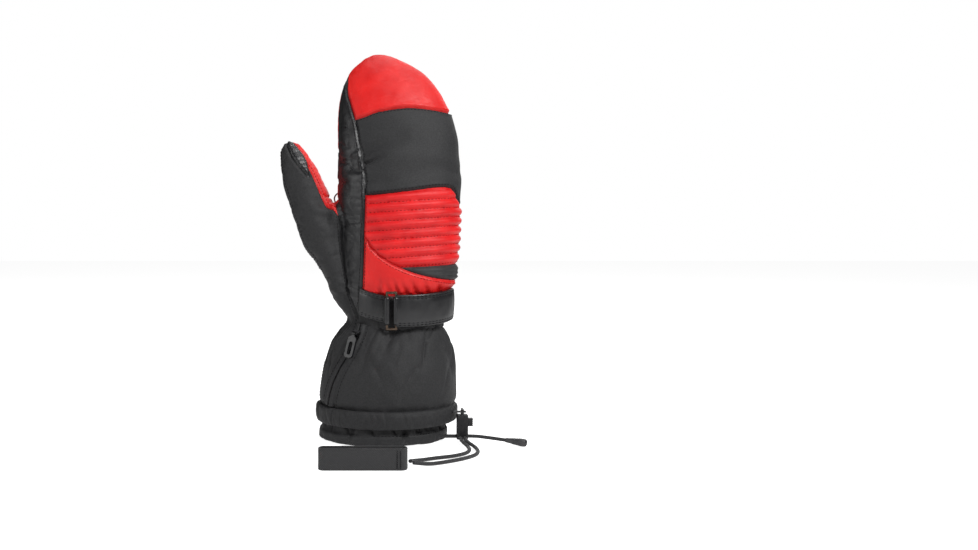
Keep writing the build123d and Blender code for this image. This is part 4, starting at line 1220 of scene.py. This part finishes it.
def strap_band(name, from_deg, to_deg, low, high, depth, thick, material, fasten, node, corner=0.0, rows=(),
               seed=1):
    """A flat strap round the wrist. corner rounds its far end, rows are stitches so far from its edges."""
    n = int(abs(to_deg - from_deg) * 0.9) + 8
    edge_points = (0.0, 0.7, 1.5, 2.0, 2.6, 3.3, 4.0, 4.9, 7.5, 10.5, 13.5)
    width = high - low
    across = np.array([*edge_points, *(width - x for x in edge_points if x < width / 2 - 0.5)])
    across = np.unique(np.round(across, 3))
    edge = np.minimum(across, width - across)
    rise = 0.6 * (1 - (2 * across / width - 1) ** 2) - 0.3 - 0.75 * thick * np.clip(1 - edge / 0.9, 0, 1) ** 2
    for row in rows:
        rise -= 0.38 * hill(edge, row, 0.42)
    rings = []
    for k, d in enumerate(np.linspace(from_deg, to_deg, n)):
        x, y, normal, _ = strap_oval(d, depth + thick)
        cut_in = corner_cut(to_deg - d, corner)
        z0, z1 = low + cut_in + strap_rise(d), high - cut_in * CORNER_TOP + strap_rise(d)
        z = z0 + across / width * (z1 - z0)
        wobble = soft_noise(table(z / 7, d / 9.0, 0), seed) - 0.5
        crease = folds(table(z / 16, d / 7.0, 0), seed + 3, 1.8)
        up = rise + (0.3 * wobble - 0.12 * crease) * np.clip(edge / 3, 0, 1)
        if k in (0, n - 1):
            up = up - 0.45 * thick
        top = table(x + normal[0] * up, y + normal[1] * up, z)
        z = np.array([z1 - 0.4, (z0 + z1) / 2, z0 + 0.4])
        rings.append(np.concatenate([top, table(x - normal[0] * thick, y - normal[1] * thick, z)]))
    part(name, *tube_mesh(np.array(rings)), material, fasten, node)
    found = []
    for row in rows:
        for z_edge, sign, share in ((low, 1, 1.0), (high, -1, CORNER_TOP)):
            length = abs(math.radians(to_deg - from_deg)) * (STRAP[1] + STRAP[2]) / 2 * 1.02
            for d in np.linspace(from_deg, to_deg, int(length / 2.7))[1:-1]:
                x, y, normal, along = strap_oval(d, depth + thick - 0.22)
                z = z_edge + sign * (row + share * corner_cut(to_deg - d, corner)) + strap_rise(d)
                found.append(((x, y, z), along, normal))
    if found:
        sew(name + "_stitch", *map(np.array, zip(*found)), fasten, (1.9, 0.5, 0.55))


def on_strap_end(o):
    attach(o, "strap_end")


strap_band("strap_tab_leather", -44, -11.5, 100, 123, 0.3, 1.8, STRAP_LEATHER, on_hand, "strap_tab",
           rows=(1.9, 3.4), seed=4)
strap_band("strap_under_leather", 6, 100, 98.4, 124.6, 0, 1.8, STRAP_LEATHER, on_hand, "strap_under", seed=5)
strap_band("loop_tape", 16, 84, 100, 123, 1.8, 0.85, FLEECE, on_hand, "loop_patch", seed=6)
strap_band("hook_tape_patch", 18, 70, 100, 123, 2.9, 0.85, HOOK_TAPE, on_strap_end, "hook_patch", seed=7)
strap_band("strap_flap_leather", -1.4, 86, 98, 125, 3.8, 1.8, STRAP_LEATHER, on_strap_end, "strap_flap",
           corner=9.0, rows=(1.9, 3.6), seed=8)


def sleeve(name, x, fasten, toward):
    """The leather turned round one side of the wire ring and sewn down."""
    low, high, y = 100, 123, -34.3
    t = turns(20)
    outer = []
    for k, z in enumerate(np.linspace(low, high, 14)):
        r = (2.15 if k in (0, 13) else 2.55) + 0.12 * math.sin(z * 1.7)
        outer.append(table(x + r * np.cos(t), y + r * np.sin(t), z))
    inner = [table(x + 1.15 * np.cos(t), y + 1.15 * np.sin(t), z) for z in (high - 0.3, low + 0.3)]
    rings = np.array(outer + inner)
    n, m = rings.shape[:2]
    faces = grid_faces(n, m).tolist()
    faces += [[(n - 1) * m + j, (n - 1) * m + (j + 1) % m, (j + 1) % m, j] for j in range(m)]
    part(name, rings.reshape(-1, 3), faces, STRAP_LEATHER, fasten, slot=False)
    points = table(x + toward * 3.3, y - 0.6, np.arange(low + 2, high - 1, 2.7))
    sew(name + "_stitch", points, (0, 0, 1), (0, -1, 0), fasten, (1.8, 0.5, 0.55))


sleeve("tab_sleeve", 0.5, on_hand, -1)
sleeve("flap_sleeve", 8.0, on_strap_end, 1)

# The elastic that gathers the palm side of the wrist: a ruffled band.
mid, a, b = STRAP
rings = []
profile = [(104.0, -2.4), (104.8, -0.6), (106.2, 0.5), (107.6, 0.1), (108.8, -0.9), (109.4, -1.0),
           (110.4, -0.2), (111.8, 0.2), (113.2, -0.2), (114.2, -1.0), (114.8, -0.9), (116.0, 0.1),
           (117.4, 0.5), (118.6, -0.5), (119.4, -2.4)]
for d in np.linspace(104, 238, 420):
    t = math.radians(d)
    turn = math.radians(d * 11.5 + 40 * math.sin(d / 9.0))
    ruffle = 2.0 * abs(math.sin(turn)) ** 0.9 - 0.6
    z, h = np.array(profile).T
    h = h + np.where(h > -1, ruffle, 0)
    z = z + 0.9 * math.cos(2 * turn)
    rings.append(table(mid + (a - 0.3 + h) * math.sin(t), -(b - 0.1 + h) * math.cos(t), z))
part("elastic_gathers", *tube_mesh(np.array(rings)), BLACK_STRETCH, on_hand, "wrist_elastic")

# ---- pole ring's bar, side tag, label stitches ---------------------------------------------------------

BAR_HIGH, BAR_LOW = np.array((-33.5, 19.6, 214.3)), np.array((-39.8, 10.8, 193.0))
axis = unit(BAR_LOW - BAR_HIGH)
side = unit(np.cross(axis, (0, 0, 1.0)))
other = np.cross(axis, side)
t = turns(24)
rings = []
for s in np.linspace(-0.06, 1.03, 46):
    taper = math.sqrt(max(1 - (2 * min(max(s, 0.0), 1.0) - 1) ** 8, 0.04))
    r = 2.3 * taper * (1 + 0.05 * math.sin(s * 47) + 0.04 * math.sin(s * 23 + 1))
    middle = BAR_HIGH + (BAR_LOW - BAR_HIGH) * s
    rings.append(middle + r * (np.outer(np.cos(t), side) + np.outer(np.sin(t), other)))
part("ring_bar_leather", *tube_mesh(np.array(rings)), BLACK_LEATHER, on_hand, "ring_bar")

# The tag hangs from its hinge edge: u runs along that edge, w down the tag and n out of its face.
HINGE, TAG_SIZE = np.array((51.216, 25.172, 61.042)), 19.0
u = unit(np.array((0.605403, -0.642716, -0.469472)))
n = np.array((0.7279, 0.6857, 0.09))
n = unit(n - u * (n @ u))
w = np.cross(n, u)
w *= -np.sign(w[2])


def on_tag(o):
    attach(o, "side_tag")


def tag_side(puff):
    """One face of the tag: 1 for its outside and -1 for its back."""
    edge = np.minimum(np.minimum(0.5 - np.abs(gx), gy), 1 - gy) * TAG_SIZE
    x = gx * TAG_SIZE * (1 - 0.05 * np.clip(1 - edge / 1.2, 0, 1))
    crease = folds(table(gx.ravel() * 2.4, gy.ravel() * 2.2, 0), 17, 1.5).reshape(gx.shape)
    h = puff * (0.15 + 0.45 * np.clip(edge / 1.2, 0, 1) - 0.22 * hill(edge, 2.0, 0.5) - 0.25 * crease)
    return (HINGE + u * x[..., None] + w * (gy * TAG_SIZE)[..., None] + n * h[..., None]).reshape(-1, 3)


k = 25
gx, gy = np.meshgrid(np.linspace(-0.5, 0.5, k), np.linspace(0, 1, k), indexing="ij")
cells = grid_faces(k, k, closed=False)
rim = [i * k for i in range(k)] + [(k - 1) * k + j for j in range(1, k)]
rim += [i * k + k - 1 for i in range(k - 2, -1, -1)] + list(range(k - 2, 0, -1))
faces = cells.tolist() + (cells[:, ::-1] + k * k).tolist()
faces += [[a, b, b + k * k, a + k * k] for a, b in zip(rim, rim[1:] + rim[:1])]
part("tag_leather", np.concatenate([tag_side(1), tag_side(-1)]), faces, RED_LEATHER, on_tag, "side_tag")
points, alongs = [], []
for x0, y0, x1, y1 in ((-7.5, 2, -7.5, 17), (-7.5, 17, 7.5, 17), (7.5, 17, 7.5, 2)):
    for s in np.arange(0.05, 1, 0.145):
        points.append(HINGE + w * (y0 + (y1 - y0) * s) + u * (x0 + (x1 - x0) * s) + n * 0.55)
        alongs.append(unit(u * (x1 - x0) + w * (y1 - y0)))
sew("tag_stitch", points, alongs, n, on_tag, (1.6, 0.5, 0.5), RED_THREAD)

# The sewn end of a folded label, low on the palm.
z = np.linspace(118, 133, 11)
points = table(np.interp(z, (118, 133), (33.5, 36.0)), 25.0, z)
points = np.array([hand.shown[hand.tree.find(q)[1]] for q in points.tolist()])
sew("label_stitch", points, unit(np.gradient(points, axis=0)), hand.up(points), on_hand, (1.5, 1.3, 0.9))

# ---- cords ----------------------------------------------------------------------------------------------

LEASH_UPPER = [(62.0, -23.8, 3.5), (62.0, -33.0, 3.5), (67.5, -46, 1.5), (66.0, -61, 1.5), (54, -72, 1.5),
               (40, -77, 1.5), (27, -84, 1.6), (19.0, -92, 3.2), (17.9, -99.3, 5.0)]
LEASH_LOWER = [(65.8, -23.8, 3.5), (65.8, -34.0, 3.5), (73.5, -48, 1.5), (73.0, -66, 1.5), (60, -80, 1.5),
               (44, -90, 1.5), (30, -98, 2.0), (20.2, -102.2, 4.6)]
TAIL = [(68.6, -20, 4.4), (75, -20, 4.4), (82, -21.5, 3.9), (89, -24.5, 3.7), (99, -30.5, 3.6)]


def cord(name, points, node):
    data = bpy.data.curves.new(name, "CURVE")
    data.dimensions = "3D"
    data.bevel_depth, data.bevel_resolution, data.resolution_u = 0.0015, 6, 24
    data.use_fill_caps = True
    spline = data.splines.new("NURBS")
    spline.points.add(len(points) - 1)
    for p, q in zip(spline.points, points):
        p.co = (q[0] * MM, q[1] * MM, q[2] * MM, 1)
    spline.order_u = 3
    spline.use_endpoint_u = True
    data.materials.append(CORD_BRAID)
    o = bpy.data.objects.new(name, data)
    bpy.context.scene.collection.objects.link(o)
    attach(o, "hand")
    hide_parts(node)
    return o


upper = cord("leash_upper", LEASH_UPPER, "leash_cord_upper")
lower = cord("leash_lower", LEASH_LOWER, "leash_cord_lower")
tail = cord("tail_cord", TAIL, "drawcord_tail")

# The webbing loop: one layer all the way round, standing on its edge.
LOOP_END, LOOP_Y, LOOP_LONG, LOOP_OPEN, LOOP_THICK = 16.0, -103.0, 67.0, 7.0, 1.4
radius = (LOOP_OPEN + LOOP_THICK) / 2
half = LOOP_LONG / 2 - LOOP_THICK / 2 - radius
middle = LOOP_END - LOOP_LONG / 2
straight = np.linspace(-half, half, 44)


def loop_turn(x, start, end):
    t = np.radians(np.linspace(start, end, 18))[1:-1]
    return table(x + radius * np.cos(t), LOOP_Y + radius * np.sin(t))


path = np.concatenate([
    table(middle + straight, LOOP_Y - radius), loop_turn(middle + half, -90, 90),
    table(middle - straight, LOOP_Y + radius), loop_turn(middle - half, 90, 270)])
ahead = unit(np.roll(path, -1, 0) - np.roll(path, 1, 0))
out = table(ahead[:, 1], -ahead[:, 0])
profile = [(0.0, -0.25), (0.0, 0.25), (0.35, 0.62), (1.0, 0.70), (1.5, 0.55), (2.0, 0.68), (5, 0.62),
           (8.2, 0.66), (11.5, 0.62), (14.5, 0.68), (15.0, 0.55), (15.5, 0.70), (16.15, 0.62),
           (16.5, 0.25), (16.5, -0.25), (16.15, -0.62), (15.5, -0.68), (8.2, -0.64), (1.0, -0.68), (0.35, -0.62)]
rings = np.stack([table(*(path + out * d).T, z) for z, d in profile], 1)
n, m = rings.shape[:2]
i, j = np.meshgrid(np.arange(n), np.arange(m), indexing="ij")
faces = np.stack([(i + 1) % n * m + j, (i + 1) % n * m + (j + 1) % m,
                  i * m + (j + 1) % m, i * m + j], -1)
part("band_webbing", rings.reshape(-1, 3), faces.reshape(-1, 4).tolist(), WEBBING, on_hand,
     "leash_band")
points = [(x, LOOP_Y - radius - 0.68, z) for x in (8.0, 10.5) for z in np.arange(2.0, 15.5, 1.35)]
sew("band_stitch", points, (0.55, 0, 0.83), (0, -1, 0), on_hand, (1.7, 0.55, 0.55))

# The moulded bell on the drawcord's end, with grip ribs and a hollow mouth.
end = np.array(TAIL[-1], float)
along = unit(end - np.array(TAIL[-2], float))
side = unit(np.cross(along, (0, 0, 1.0)))
other = np.cross(side, along)
outline = [(-0.4, 1.55), (0.0, 1.95), (0.8, 2.1), (2.4, 2.2), (4.5, 2.45), (6.5, 2.75), (8.0, 3.0),
           (8.6, 2.8),
           (9.2, 3.1), (9.8, 2.9), (10.4, 3.25), (11.0, 3.05), (11.6, 3.35), (13.5, 3.5), (15.5, 3.5),
           (17.2, 3.3), (17.9, 2.95), (18.0, 2.5), (17.6, 2.2), (14.0, 1.9), (13.6, 0.4)]
t = turns(28)
circle = np.outer(np.cos(t), side) + 0.92 * np.outer(np.sin(t), other)
rings = [end + along * d + r * circle for d, r in outline]
bell = part("cord_bell", *tube_mesh(np.array(rings)), SOFT_PLASTIC, on_hand, "cord_end")

# ---- nodes that keep their own shape ----------------------------------------------------------------------

for node, material in {
        "cord_lock_body": BLACK_PLASTIC, "cord_lock_button": BLACK_PLASTIC, "lock_tab": WEBBING,
        "hem_drawcord": CORD_BRAID, "pole_ring": SILVER, "strap_ring": BRONZE, "zip_slider": BLACK_METAL,
        "zip_puller": GLOSS_PLASTIC}.items():
    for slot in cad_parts[node].material_slots:
        slot.material = material

# ---- floor and finish ------------------------------------------------------------------------------

floor_mat = Nodes("floor", (0.8, 0.8, 0.8), 0.9, Emission_Color=(1, 1, 1, 1))
seen = floor_mat.add("ShaderNodeLightPath").outputs["Is Camera Ray"]
floor_mat.put(floor_mat.ramp(seen, 0, 1, 0.2, 0.88), floor_mat.shader.inputs["Emission Strength"])
floor = make("floor", [(-3000, -2500, -0.3), (3000, -2500, -0.3), (3000, 3500, -0.3), (-3000, 3500, -0.3)],
             [(0, 1, 2, 3)], floor_mat.mat, smooth=False)
